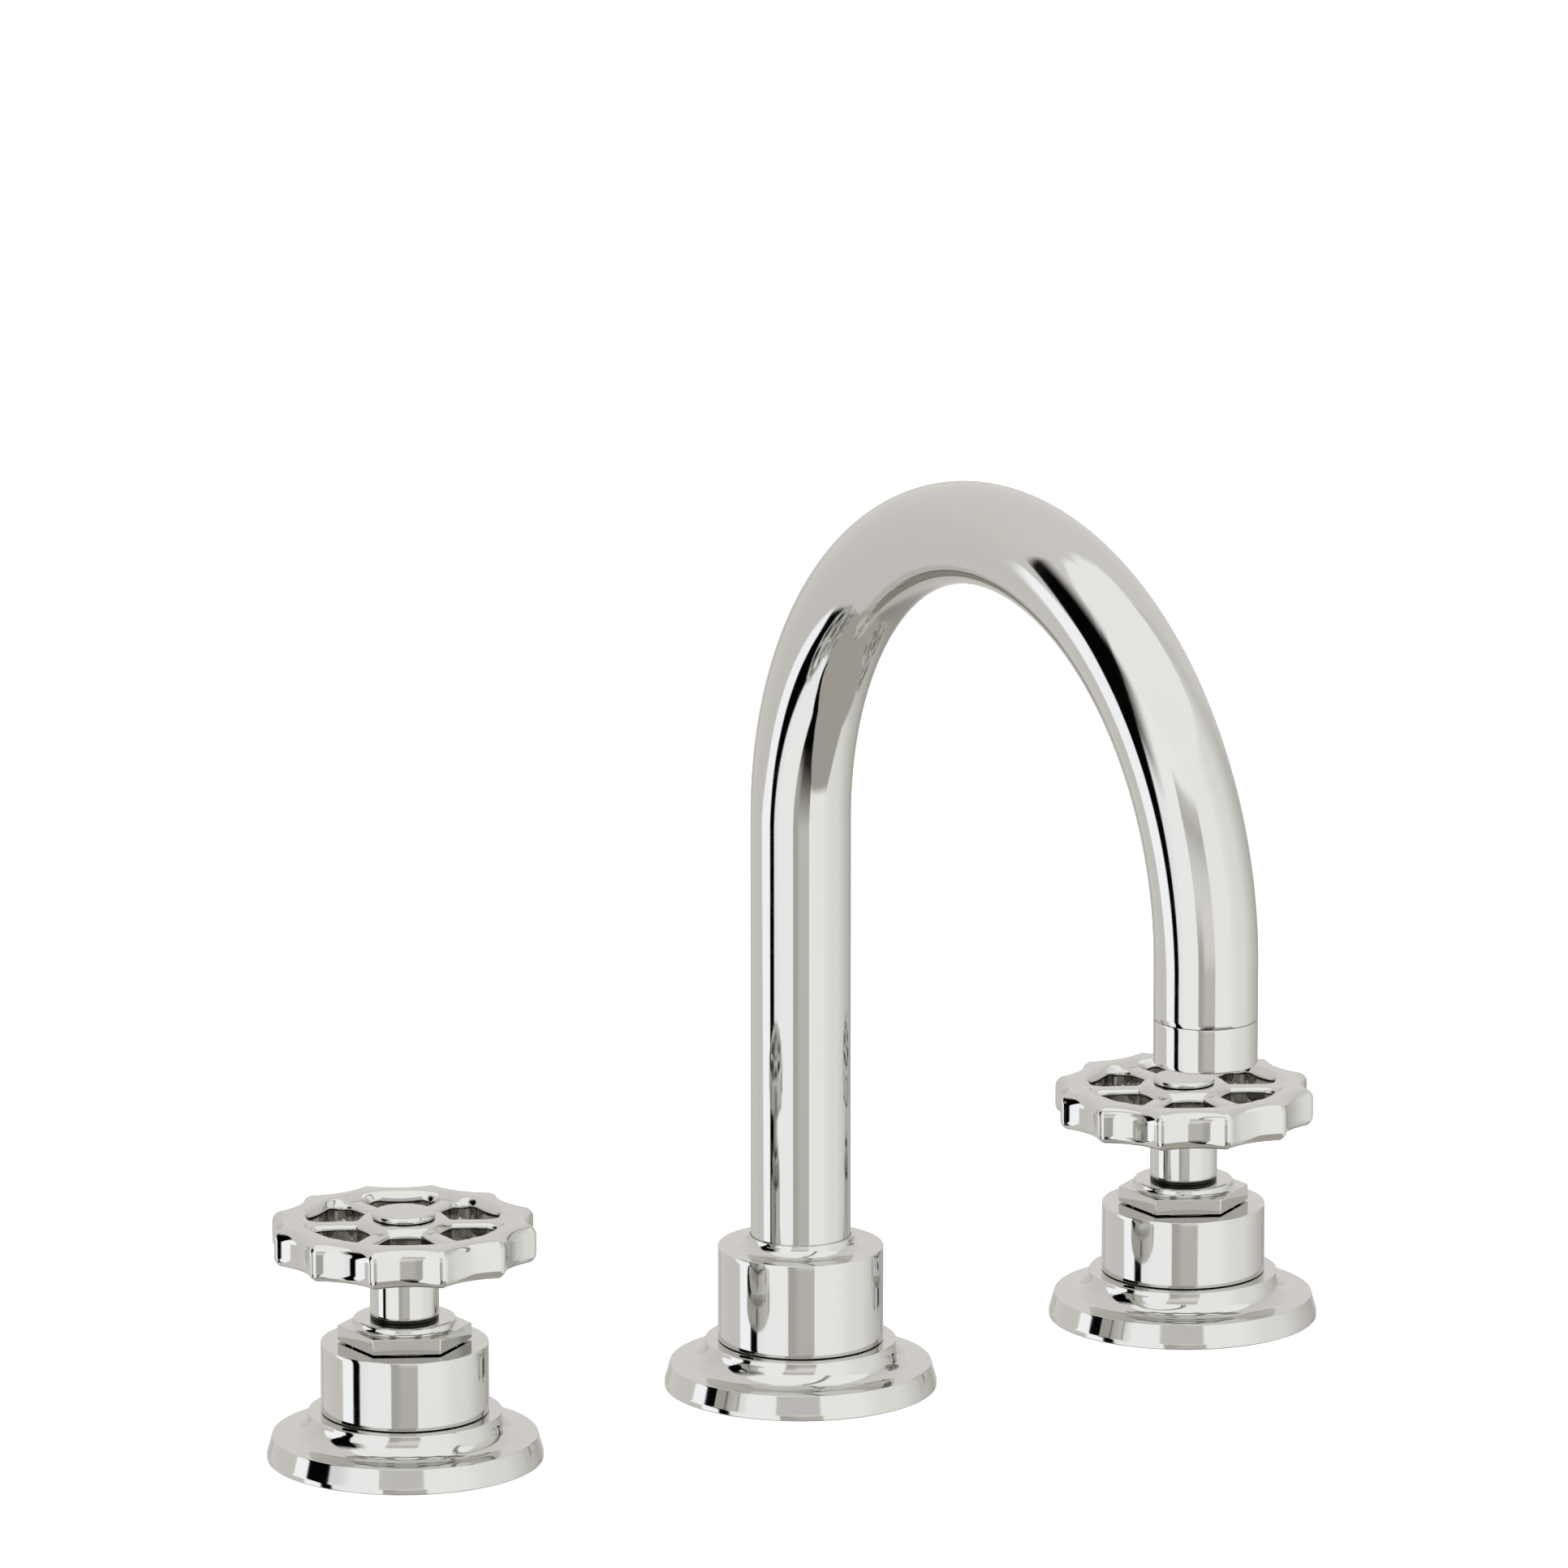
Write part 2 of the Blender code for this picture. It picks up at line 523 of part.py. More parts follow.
def make_flange(prefix, material, parent):
    """The stepped round foot: slanted skirt, nearly flat top, cove and step, hollow below."""
    cove_centre = (FLANGE_STEP_RADIUS + FLANGE_COVE, FLANGE_COVE_BOTTOM + FLANGE_COVE)
    rim_bore = FLANGE_RADIUS - FLANGE_RIM_WALL
    ceiling = FLANGE_HEIGHT - FLANGE_TOP_WALL
    profile = [
        (FLANGE_RADIUS, 0),
        (FLANGE_TOP_RADIUS, FLANGE_EDGE_HEIGHT - FLANGE_EDGE_BEVEL),
        (FLANGE_TOP_RADIUS - FLANGE_EDGE_BEVEL, FLANGE_EDGE_HEIGHT),
        *arc(cove_centre, FLANGE_COVE, -TURN / 4, -TURN / 2, COVE_STEPS),
        (FLANGE_STEP_RADIUS, FLANGE_HEIGHT),
        (SHANK_HOLE, FLANGE_HEIGHT),
        (SHANK_HOLE, ceiling),
        (FLANGE_POCKET_RADIUS, ceiling),
        (FLANGE_POCKET_RADIUS, FLANGE_RECESS + FLANGE_POCKET_SLOPE),
        (FLANGE_POCKET_RADIUS + FLANGE_POCKET_SLOPE, FLANGE_RECESS),
        (rim_bore, FLANGE_RECESS),
        (rim_bore, 0),
    ]
    return turned(prefix + "flange", profile, material, parent, FLANGE_SIDES)


def flat_ring(name, bore, radius, bottom, top, material, parent, sides=PLAIN_SIDES):
    """A washer, gasket or seal with a plain section."""
    profile = [(bore, bottom), (radius, bottom), (radius, top), (bore, top)]
    return turned(name, profile, material, parent, sides)


def hex_nut(name, bore, corner_radius, bottom, top, material, parent):
    """A hexagonal nut with a plain bore."""
    profile = [(bore, bottom), (corner_radius, bottom, hexagon_share),
               (corner_radius, top, hexagon_share), (bore, top)]
    return turned(name, profile, material, parent, HUB_SIDES)


def o_ring(name, centre_radius, height, material, parent):
    """A rubber ring of round section."""
    section = arc((centre_radius, height), O_RING_THICKNESS / 2, 0, TURN, BAND_STEPS)[:-1]
    return turned(name, section, material, parent)


def make_foot(prefix, looks, parent):
    """What clamps a shank to the deck, the same three times: flange, gasket, nuts and washers."""
    make_flange(prefix, looks["nickel"], parent)
    gasket_bore = FLANGE_POCKET_RADIUS + FLANGE_POCKET_SLOPE + GASKET_FIT
    gasket_radius = FLANGE_RADIUS - FLANGE_RIM_WALL - GAP
    flat_ring(prefix + "flange_gasket", gasket_bore, gasket_radius, 0, FLANGE_RECESS - GAP,
              looks["rubber"], parent)
    hex_nut(prefix + "mounting_nut", SHANK_HOLE, MOUNTING_NUT_CORNER_RADIUS, GAP,
            GAP + MOUNTING_NUT_HEIGHT, looks["brass"], parent)
    flat_ring(prefix + "deck_washer", SHANK_HOLE, SHANK_HOLE + DECK_WASHER_WIDTH, DECK_WASHER_BOTTOM,
              DECK_WASHER_TOP, looks["rubber"], parent)
    flat_ring(prefix + "metal_washer", SHANK_HOLE, SHANK_HOLE + METAL_WASHER_WIDTH,
              METAL_WASHER_BOTTOM, METAL_WASHER_TOP, looks["steel"], parent)
    hex_nut(prefix + "lock_nut", SHANK_HOLE, SHANK_HOLE + LOCK_NUT_WIDTH, LOCK_NUT_BOTTOM,
            LOCK_NUT_TOP, looks["brass"], parent)


def make_valve_hub(prefix, looks, parent):
    """The round body between flange and bonnet nut, threaded on the shank."""
    skirt_hole = BONNET_SKIRT_RADIUS + GAP
    profile = [
        (HUB_RADIUS - HUB_BEVEL, HUB_BOTTOM),
        (HUB_RADIUS, HUB_BOTTOM + HUB_BEVEL),
        (HUB_RADIUS, VALVE_HUB_TOP - HUB_BEVEL),
        (HUB_RADIUS - HUB_BEVEL, VALVE_HUB_TOP),
        (skirt_hole, VALVE_HUB_TOP),
        (skirt_hole, BONNET_BOTTOM),
        (SHANK_HOLE, BONNET_BOTTOM),
        (SHANK_HOLE, HUB_BOTTOM),
    ]
    turned(prefix + "hub", profile, looks["nickel"], parent, HUB_SIDES)


def make_bonnet_nut(prefix, looks, parent):
    """Hexagon with a coved round collar above it and a threaded skirt below."""
    flat_reach = BONNET_CORNER_RADIUS * hexagon_share(0, HUB_SIDES)
    cove = min(BONNET_COVE, flat_reach - BONNET_COLLAR_RADIUS - GAP)
    cove_centre = (BONNET_COLLAR_RADIUS + cove, BONNET_HEX_TOP + cove)
    floor = BUSH_SPIGOT_BOTTOM - BUSH_SPIGOT_ROOM
    spigot_hole = BUSH_SPIGOT_RADIUS + GAP
    profile = [
        (SPINDLE_HOLE, BONNET_BOTTOM),
        (BONNET_SKIRT_RADIUS, BONNET_BOTTOM),
        (BONNET_SKIRT_RADIUS, BONNET_HEX_BOTTOM),
        (BONNET_CORNER_RADIUS, BONNET_HEX_BOTTOM, hexagon_share),
        (BONNET_CORNER_RADIUS, BONNET_HEX_TOP, hexagon_share),
        *arc(cove_centre, cove, -TURN / 4, -TURN / 2, BONNET_COVE_STEPS),
        (BONNET_COLLAR_RADIUS, BONNET_TOP),
        (spigot_hole, BONNET_TOP),
        (spigot_hole, floor),
        (SPINDLE_HOLE, floor),
    ]
    turned(prefix + "bonnet_nut", profile, looks["nickel"], parent, HUB_SIDES)


def make_glide_bush(prefix, looks, parent):
    """The dark ring that the handwheel's sleeve runs on, with its spigot in the bonnet nut."""
    profile = [
        (SPINDLE_HOLE, BUSH_SPIGOT_BOTTOM),
        (BUSH_SPIGOT_RADIUS, BUSH_SPIGOT_BOTTOM),
        (BUSH_SPIGOT_RADIUS, BUSH_BOTTOM),
        (BUSH_RADIUS, BUSH_BOTTOM),
        (BUSH_RADIUS, BUSH_TOP),
        (SPINDLE_HOLE, BUSH_TOP),
    ]
    turned(prefix + "glide_bush", profile, looks["black_plastic"], parent)


def make_cartridge(prefix, looks, parent, sense):
    """Housing that holds the discs, with two side windows and the stop for the spindle's lug."""
    collar = BODY_BORE_RADIUS + CARTRIDGE_COLLAR_OVERLAP
    wide = BODY_BORE_RADIUS - GAP
    wide_bottom = CARTRIDGE_COLLAR_BOTTOM - CARTRIDGE_WIDE_LENGTH
    seal_pocket = SPINDLE_HOLE + O_RING_THICKNESS + GAP
    profile = [
        (collar, CARTRIDGE_TOP),
        (collar, CARTRIDGE_COLLAR_BOTTOM),
        (wide, CARTRIDGE_COLLAR_BOTTOM),
        (wide, wide_bottom),
        (CARTRIDGE_OUTER_RADIUS, wide_bottom),
        (CARTRIDGE_OUTER_RADIUS, CARTRIDGE_BOTTOM),
        (CARTRIDGE_BORE_RADIUS, CARTRIDGE_BOTTOM),
        (CARTRIDGE_BORE_RADIUS, NECK_BOTTOM),
        (SPINDLE_HOLE, NECK_BOTTOM),
        (SPINDLE_HOLE, O_RING_SEAT),
        (seal_pocket, O_RING_SEAT),
        (seal_pocket, CARTRIDGE_TOP),
    ]
    housing = turned(prefix + "cartridge_housing", profile, looks["brass"], parent)
    free = HANDLE_TURN + STOP_LUG_ANGLE + 2 * STOP_SLACK_ANGLE
    stop = sector_points(SPINDLE_COLLAR_RADIUS + GAP, CARTRIDGE_BORE_RADIUS + CARTRIDGE_WALL / 2,
                         sense * HANDLE_TURN / 2 + TURN / 2, TURN - free, PLAIN_SIDES)
    block = plate(prefix + "stop_block", stop, [], COLLAR_BOTTOM, NECK_BOTTOM + GAP, None, parent)
    change(housing, block, "UNION")
    windows = box_points(2 * (CARTRIDGE_OUTER_RADIUS + OVERRUN), WINDOW_WIDTH)
    cutter = plate(prefix + "window_cutter", windows, [], WINDOW_BOTTOM, WINDOW_TOP, None, parent)
    change(housing, cutter, "DIFFERENCE")


def make_disc(name, port_middle, bottom, material, parent):
    """A ceramic disc with two sector ports."""
    inner = BLADE_WIDTH / 2 + DISC_PORT_LAND
    outer = DISC_RADIUS - DISC_PORT_RIM
    ports = [sector_points(inner, outer, port_middle + half, DISC_PORT_ANGLE, DISC_PORT_STEPS)
             for half in (0, TURN / 2)]
    outline = circle_points(DISC_RADIUS, PLAIN_SIDES)
    return plate(name, outline, ports, bottom, bottom + DISC_THICKNESS, material, parent)


def make_discs(prefix, looks, fixed, moving):
    """The fixed lower disc and the turning upper disc, a quarter turn apart when closed."""
    make_disc(prefix + "lower_disc", 0, LOWER_DISC_BOTTOM, looks["ceramic"], fixed)
    upper = make_disc(prefix + "upper_disc", TURN / 4, UPPER_DISC_BOTTOM, looks["ceramic"], moving)
    groove = box_points(2 * (DISC_RADIUS + OVERRUN), BLADE_WIDTH + 2 * GAP)
    cutter = plate(prefix + "groove_cutter", groove, [], UPPER_DISC_TOP - BLADE_SINK - GAP,
                   UPPER_DISC_TOP + OVERRUN, None, moving)
    change(upper, cutter, "DIFFERENCE")


def make_spindle(prefix, looks, parent, sense):
    """Stem with a splined end, a thrust collar with its stop lug, and a driving blade."""
    blade_bottom = UPPER_DISC_TOP - BLADE_SINK
    blade_top = blade_bottom + BLADE_HEIGHT
    boss_radius = SPINDLE_RADIUS + SPINDLE_BOSS_WIDTH
    hole_bottom = WEB_TOP + GAP - SCREW_LENGTH - TAPPED_SPARE_DEPTH
    profile = [
        (0, blade_top - GAP),
        (boss_radius, blade_top - GAP),
        (boss_radius, COLLAR_BOTTOM),
        (SPINDLE_COLLAR_RADIUS, COLLAR_BOTTOM),
        (SPINDLE_COLLAR_RADIUS, COLLAR_TOP),
        (SPINDLE_RADIUS, COLLAR_TOP),
        (SPINDLE_RADIUS, SLEEVE_BOTTOM),
        (SPINDLE_RADIUS, SLEEVE_BOTTOM + SPLINE_DEPTH, spline_share),
        (SPINDLE_RADIUS, SPINDLE_TOP, spline_share),
        (SCREW_HOLE, SPINDLE_TOP),
        (SCREW_HOLE, hole_bottom),
        (0, hole_bottom),
    ]
    spindle = turned(prefix + "spindle", profile, looks["brass"], parent)
    blade_length = 2 * math.sqrt(DISC_RADIUS ** 2 - BLADE_WIDTH ** 2) - GAP
    blade = plate(prefix + "blade", box_points(blade_length, BLADE_WIDTH), [], blade_bottom,
                  blade_top, None, parent)
    change(spindle, blade, "UNION")
    lug_points = sector_points(SPINDLE_RADIUS, DISC_RADIUS, 0, STOP_LUG_ANGLE, STOP_LUG_STEPS)
    lug = plate(prefix + "stop_lug", lug_points, [], COLLAR_BOTTOM + GAP, COLLAR_TOP - GAP / 2,
                None, parent)
    change(spindle, lug, "UNION")


def make_valve_body(prefix, looks, parent):
    """Threaded shank with an inlet tube inside it, a side outlet and an inlet nipple below."""
    shoulder_radius = SHANK_RADIUS + BODY_SHOULDER
    chamber_floor = CHAMBER_BOTTOM + BODY_FLOOR
    mouth_top = BODY_BOTTOM - INLET_MOUTH_SEAT
    mouth_radius = PORT_RADIUS - INLET_MOUTH_WALL
    profile = [
        (SHANK_RADIUS, BODY_TOP),
        (SHANK_RADIUS, SHANK_BOTTOM),
        (shoulder_radius, SHANK_BOTTOM),
        (shoulder_radius, CHAMBER_BOTTOM),
        (PORT_RADIUS, BODY_BOTTOM),
        (PORT_RADIUS, INLET_BOTTOM),
        (mouth_radius, INLET_BOTTOM),
        (mouth_radius, mouth_top),
        (INLET_TUBE_BORE, mouth_top + INLET_CONE),
        (INLET_TUBE_BORE, INLET_TUBE_TOP),
        (INLET_TUBE_RADIUS, INLET_TUBE_TOP),
        (INLET_TUBE_RADIUS, chamber_floor),
        (BODY_BORE_RADIUS, chamber_floor),
        (BODY_BORE_RADIUS, BODY_TOP),
    ]
    body = turned(prefix + "valve_body", profile, looks["brass"], parent)
    root = BODY_BORE_RADIUS + OUTLET_ROOT_WALL
    reach = shoulder_radius + OUTLET_LENGTH
    nozzle = along_x(prefix + "nozzle", OUTLET_RADIUS, root, reach, OUTLET_HEIGHT, parent)
    change(body, nozzle, "UNION")
    bore_start = (INLET_TUBE_RADIUS + BODY_BORE_RADIUS) / 2
    bore = along_x(prefix + "outlet_bore", OUTLET_RADIUS - OUTLET_WALL, bore_start, reach + OVERRUN,
                   OUTLET_HEIGHT, parent)
    change(body, bore, "DIFFERENCE")


def along_x(name, radius, start, end, height, parent):
    """A solid round bar that lies along X."""
    bar = turned(name, [(0, start), (radius, start), (radius, end), (0, end)], None, parent)
    bar.rotation_euler = (0, TURN / 4, 0)
    bar.location = (0, 0, height)
    return bar


def scallop_radius(corner_reach, turn):
    """Radius of a scallop as deep as named, tangent to the lobe corners on both of its sides."""
    bottom = WHEEL_RADIUS - SCALLOP_DEPTH
    corner_across = corner_reach * math.cos(turn)
    corner_to_bottom = corner_reach ** 2 + bottom ** 2 - 2 * corner_across * bottom
    return (corner_to_bottom - LOBE_CORNER ** 2) / (2 * (corner_across + LOBE_CORNER - bottom))


def wheel_outline(inset):
    """Lobed rim: outer lands, concave scallops and rounded lobe corners, moved in by inset."""
    sector = TURN / WHEEL_LOBES
    corner_reach = WHEEL_RADIUS - LOBE_CORNER
    turn = (sector - LOBE_LAND / WHEEL_RADIUS) / 2
    radius = scallop_radius(corner_reach, turn)
    centre = WHEEL_RADIUS - SCALLOP_DEPTH + radius
    corner = (corner_reach * math.cos(turn), corner_reach * math.sin(turn))
    tangent = math.atan2(corner[1], corner[0] - centre)
    points = []
    for lobe in range(WHEEL_LOBES):
        scallop = arc((centre, 0), radius + inset, -tangent, tangent - TURN, SCALLOP_STEPS)
        edge = corner_reach + LOBE_CORNER - inset
        start = (edge * math.cos(turn), -edge * math.sin(turn))
        end = (edge * math.cos(turn), edge * math.sin(turn))
        for across, along in [start, *scallop, end]:
            points.append(rotated(across, along, lobe * sector))
    return points


def rotated(across, along, angle):
    """A point turned about the Z axis."""
    return (across * math.cos(angle) - along * math.sin(angle),
            across * math.sin(angle) + along * math.cos(angle))


def rounded_corner(corner, before, after, radius, steps):
    """Points of a curve that leaves one side of a corner and joins the other."""
    corner = Vector(corner)
    start = corner + (Vector(before) - corner).normalized() * radius
    end = corner + (Vector(after) - corner).normalized() * radius
    points = []
    for index in range(steps + 1):
        share = index / steps
        point = start.lerp(corner, share).lerp(corner.lerp(end, share), share)
        points.append(tuple(point))
    return points


def window_outline(angle):
    """Opening between two spokes: straight inner edge, sides along the spokes, round outer edge."""
    half = TURN / WHEEL_SPOKES / 2
    along_spoke = Vector((math.cos(half), math.sin(half)))
    to_window = Vector((math.sin(half), -math.cos(half)))
    side = to_window * SPOKE_WIDTH / 2
    inner = side + along_spoke * (WINDOW_INNER_EDGE - side.x) / along_spoke.x
    outer_reach = math.sqrt(WINDOW_OUTER_RADIUS ** 2 - (SPOKE_WIDTH / 2) ** 2)
    outer = side + along_spoke * outer_reach
    outer_angle = math.atan2(outer.y, outer.x) - WINDOW_CORNER / WINDOW_OUTER_RADIUS
    rim = arc((0, 0), WINDOW_OUTER_RADIUS, -outer_angle, outer_angle, WINDOW_ARC_STEPS)
    inner_corner = rounded_corner(inner, outer, (inner.x, 0), WINDOW_CORNER, WINDOW_CORNER_STEPS)
    outer_corner = rounded_corner(outer, rim[-1], inner, WINDOW_CORNER, WINDOW_CORNER_STEPS)
    upper = outer_corner[1:] + inner_corner
    lower = [(across, -along) for across, along in reversed(upper)]
    return [rotated(across, along, angle) for across, along in rim + upper + lower]


def make_handwheel(prefix, looks, parent):
    """Lobed rim, six spokes and sleeve in one casting, with the bore for the spindle."""
    mesh = bmesh.new()
    rim_levels = []
    for bottom, sign in ((WHEEL_BOTTOM, 1), (WHEEL_TOP, -1)):
        rounding = [(WHEEL_EDGE * (1 - math.cos(angle)), bottom + sign * WHEEL_EDGE * (1 - math.sin(angle)))
                    for angle in (TURN / 4, TURN / 8, 0)]
        rim_levels += rounding if sign > 0 else reversed(rounding)
    rim = [flat_loop(mesh, wheel_outline(inset), height) for inset, height in rim_levels]
    skin(mesh, rim)
    windows = [window_outline(TURN * index / WHEEL_SPOKES) for index in range(WHEEL_SPOKES)]
    low_windows = [flat_loop(mesh, points, WHEEL_BOTTOM) for points in windows]
    high_windows = [flat_loop(mesh, points, WHEEL_TOP) for points in windows]
    for low, high in zip(low_windows, high_windows):
        skin(mesh, [low, high])
    centre = [
        (SLEEVE_RADIUS, WHEEL_BOTTOM),
        (SLEEVE_RADIUS, SLEEVE_BOTTOM),
        (SPINDLE_HOLE, SLEEVE_BOTTOM),
        (SPINDLE_HOLE, WEB_BOTTOM),
        (SCREW_HOLE, WEB_BOTTOM),
        (SCREW_HOLE, WEB_TOP),
        (WHEEL_COUNTERBORE, WEB_TOP),
        (WHEEL_COUNTERBORE, WHEEL_TOP),
    ]
    middle = [ring(mesh, radius, height, PLAIN_SIDES) for radius, height in centre]
    skin(mesh, middle)
    fill(mesh, [rim[0], *low_windows, middle[0]])
    fill(mesh, [rim[-1], *high_windows, middle[-1]])
    finish(mesh, prefix + "handwheel", looks["nickel"], parent)


def make_screw_and_cap(prefix, looks, parent):
    """Socket screw through the wheel's web, and the button that covers it."""
    head_bottom = WEB_TOP + GAP
    head_top = head_bottom + SCREW_HEAD_HEIGHT
    socket_bottom = head_top - SCREW_SOCKET_DEPTH
    socket_radius = SCREW_HEAD_RADIUS - SCREW_SOCKET_WALL
    screw = [
        (0, head_bottom - SCREW_LENGTH),
        (SCREW_RADIUS, head_bottom - SCREW_LENGTH),
        (SCREW_RADIUS, head_bottom),
        (SCREW_HEAD_RADIUS, head_bottom),
        (SCREW_HEAD_RADIUS, head_top),
        (socket_radius, head_top, hexagon_share),
        (socket_radius, socket_bottom, hexagon_share),
        (0, socket_bottom),
    ]
    turned(prefix + "handle_screw", screw, looks["steel"], parent, SCREW_SIDES)
    cap_bottom = WHEEL_TOP + GAP
    cap_top = cap_bottom + CAP_THICKNESS
    plug_radius = WHEEL_COUNTERBORE - GAP
    plug_bottom = cap_bottom - CAP_PLUG_LENGTH
    cap = [
        (0, cap_top),
        (CAP_RADIUS - CAP_EDGE, cap_top),
        (CAP_RADIUS, cap_top - CAP_EDGE),
        (CAP_RADIUS, cap_bottom),
        (plug_radius, cap_bottom),
        (plug_radius, plug_bottom),
        (plug_radius - CAP_PLUG_WALL, plug_bottom),
        (plug_radius - CAP_PLUG_WALL, cap_bottom),
        (0, cap_bottom),
    ]
    turned(prefix + "cap", cap, looks["nickel"], parent)


def make_valve(prefix, side, looks):
    """One handle side. Side is -1 for hot, on the left, and 1 for cold, on the right."""
    facing = 0 if side < 0 else TURN / 2
    fixed = empty(prefix + "valve_frame", (side * CENTRES / 2, 0, 0), turn=facing)
    moving = empty(prefix + "handle_frame", (0, 0, 0), fixed)
    sense = -side
    make_foot(prefix, looks, fixed)
    make_valve_hub(prefix, looks, fixed)
    make_bonnet_nut(prefix, looks, fixed)
    make_glide_bush(prefix, looks, fixed)
    make_valve_body(prefix, looks, fixed)
    make_cartridge(prefix, looks, fixed, sense)
    flat_ring(prefix + "seat_seal", INLET_TUBE_BORE + GAP, DISC_RADIUS, SEAL_BOTTOM, SEAL_TOP,
              looks["rubber"], fixed)
    o_ring(prefix + "spindle_o_ring", SPINDLE_HOLE + O_RING_THICKNESS / 2,
           O_RING_SEAT + GAP + O_RING_THICKNESS / 2, looks["rubber"], fixed)
    make_discs(prefix, looks, fixed, moving)
    make_spindle(prefix, looks, moving, sense)
    make_handwheel(prefix, looks, moving)
    make_screw_and_cap(prefix, looks, moving)


def make_shank(looks, parent):
    """Fixed post inside the spout's hub, with two seal grooves and the arc that stops the swivel."""
    groove = POST_GROOVE_RADIUS
    profile = [
        (POST_RADIUS, POST_TOP),
        (POST_RADIUS, UPPER_GROOVE_TOP),
        (groove, UPPER_GROOVE_TOP),
        (groove, UPPER_GROOVE_BOTTOM),
        (POST_RADIUS, UPPER_GROOVE_BOTTOM),
        (POST_RADIUS, LOWER_GROOVE_TOP),
        (groove, LOWER_GROOVE_TOP),
        (groove, LOWER_GROOVE_BOTTOM),
        (POST_RADIUS, LOWER_GROOVE_BOTTOM),
        (POST_RADIUS, SHANK_TOP),
        (SHANK_RADIUS, SHANK_TOP),
        (SHANK_RADIUS, SHANK_BOTTOM),
        (PORT_RADIUS, SHANK_BOTTOM),
        (PORT_RADIUS, NIPPLE_BOTTOM),
        (NIPPLE_BORE, NIPPLE_BOTTOM),
        (NIPPLE_BORE, SHANK_BOTTOM + NIPPLE_CONE),
        (POST_BORE, SHANK_BOTTOM + 2 * NIPPLE_CONE),
        (POST_BORE, POST_TOP),
    ]
    shank = turned("spout_shank", profile, looks["brass"], parent)
    half_angle = SPOUT_SWIVEL + SET_SCREW_HOLE / STOP_GROOVE_RADIUS
    points = sector_points(STOP_GROOVE_RADIUS, POST_RADIUS + OVERRUN, TURN / 4, 2 * half_angle,
                           PLAIN_SIDES)
    cutter = plate("swivel_stop_cutter", points, [], SET_SCREW_HEIGHT - SET_SCREW_HOLE,
                   SET_SCREW_HEIGHT + SET_SCREW_HOLE, None, parent)
    change(shank, cutter, "DIFFERENCE")


def make_spout_seals(looks, parent):
    """Two O-rings in the post's grooves, and the glide bush under them."""
    centre = POST_GROOVE_RADIUS + O_RING_GROOVE / 2
    for name, bottom in (("upper", UPPER_GROOVE_BOTTOM), ("lower", LOWER_GROOVE_BOTTOM)):
        o_ring(f"spout_{name}_o_ring", centre, bottom + O_RING_GROOVE / 2, looks["rubber"], parent)
    bore = POST_RADIUS + GAP
    profile = [
        (bore, SPOUT_BUSH_BOTTOM),
        (SHANK_RADIUS, SPOUT_BUSH_BOTTOM),
        (SHANK_RADIUS, HUB_BOTTOM),
        (SPOUT_BUSH_RADIUS, HUB_BOTTOM),
        (SPOUT_BUSH_RADIUS, SPOUT_BUSH_TOP),
        (bore, SPOUT_BUSH_TOP),
    ]
    turned("spout_glide_bush", profile, looks["black_plastic"], parent)


def make_spout_hub(looks, parent):
    """Round body that turns on the post, coved up to the tube that is brazed into it."""
    cove_centre = (SPOUT_SOCKET_RADIUS + GAP + SPOUT_HUB_COVE, SPOUT_NECK_TOP)
    bush_hole = SPOUT_BUSH_RADIUS + GAP
    bush_ceiling = SPOUT_BUSH_TOP + GAP
    profile = [
        (HUB_RADIUS - HUB_BEVEL, HUB_BOTTOM),
        (HUB_RADIUS, HUB_BOTTOM + HUB_BEVEL),
        (HUB_RADIUS, SPOUT_HUB_TOP - HUB_BEVEL),
        (HUB_RADIUS - HUB_BEVEL, SPOUT_HUB_TOP),
        *arc(cove_centre, SPOUT_HUB_COVE, -TURN / 4, -TURN / 2, COVE_STEPS),
        (SPOUT_SOCKET_RADIUS, SPOUT_NECK_TOP),
        (SPOUT_SOCKET_RADIUS, LEDGE_TOP),
        (TUBE_BORE, LEDGE_TOP),
        (TUBE_BORE, LEDGE_BOTTOM),
        (HUB_BORE, LEDGE_BOTTOM),
        (HUB_BORE, bush_ceiling),
        (bush_hole, bush_ceiling),
        (bush_hole, HUB_BOTTOM),
    ]
    hub = turned("spout_hub", profile, looks["nickel"], parent, HUB_SIDES)
    hole = turned("set_screw_hole_cutter",
                  [(0, HUB_BORE - OVERRUN), (SET_SCREW_HOLE, HUB_BORE - OVERRUN),
                   (SET_SCREW_HOLE, HUB_RADIUS + OVERRUN), (0, HUB_RADIUS + OVERRUN)],
                  None, parent, SCREW_SIDES)
    hole.rotation_euler = (-TURN / 4, 0, 0)
    hole.location = (0, 0, SET_SCREW_HEIGHT)
    change(hub, hole, "DIFFERENCE")


def make_set_screw(looks, parent):
    """Grub screw at the back of the hub, whose tip runs in the post's arc groove."""
    tip = STOP_GROOVE_RADIUS + GAP
    end = HUB_RADIUS - SET_SCREW_SINK
    socket_radius = SET_SCREW_RADIUS - SET_SCREW_SOCKET_WALL
    socket_floor = end - SET_SCREW_SOCKET_DEPTH
    profile = [
        (0, tip),
        (SET_SCREW_RADIUS, tip),
        (SET_SCREW_RADIUS, end),
        (socket_radius, end, hexagon_share),
        (socket_radius, socket_floor, hexagon_share),
        (0, socket_floor),
    ]
    screw = turned("spout_set_screw", profile, looks["steel"], parent, SCREW_SIDES)
    screw.rotation_euler = (-TURN / 4, 0, 0)
    screw.location = (0, 0, SET_SCREW_HEIGHT)


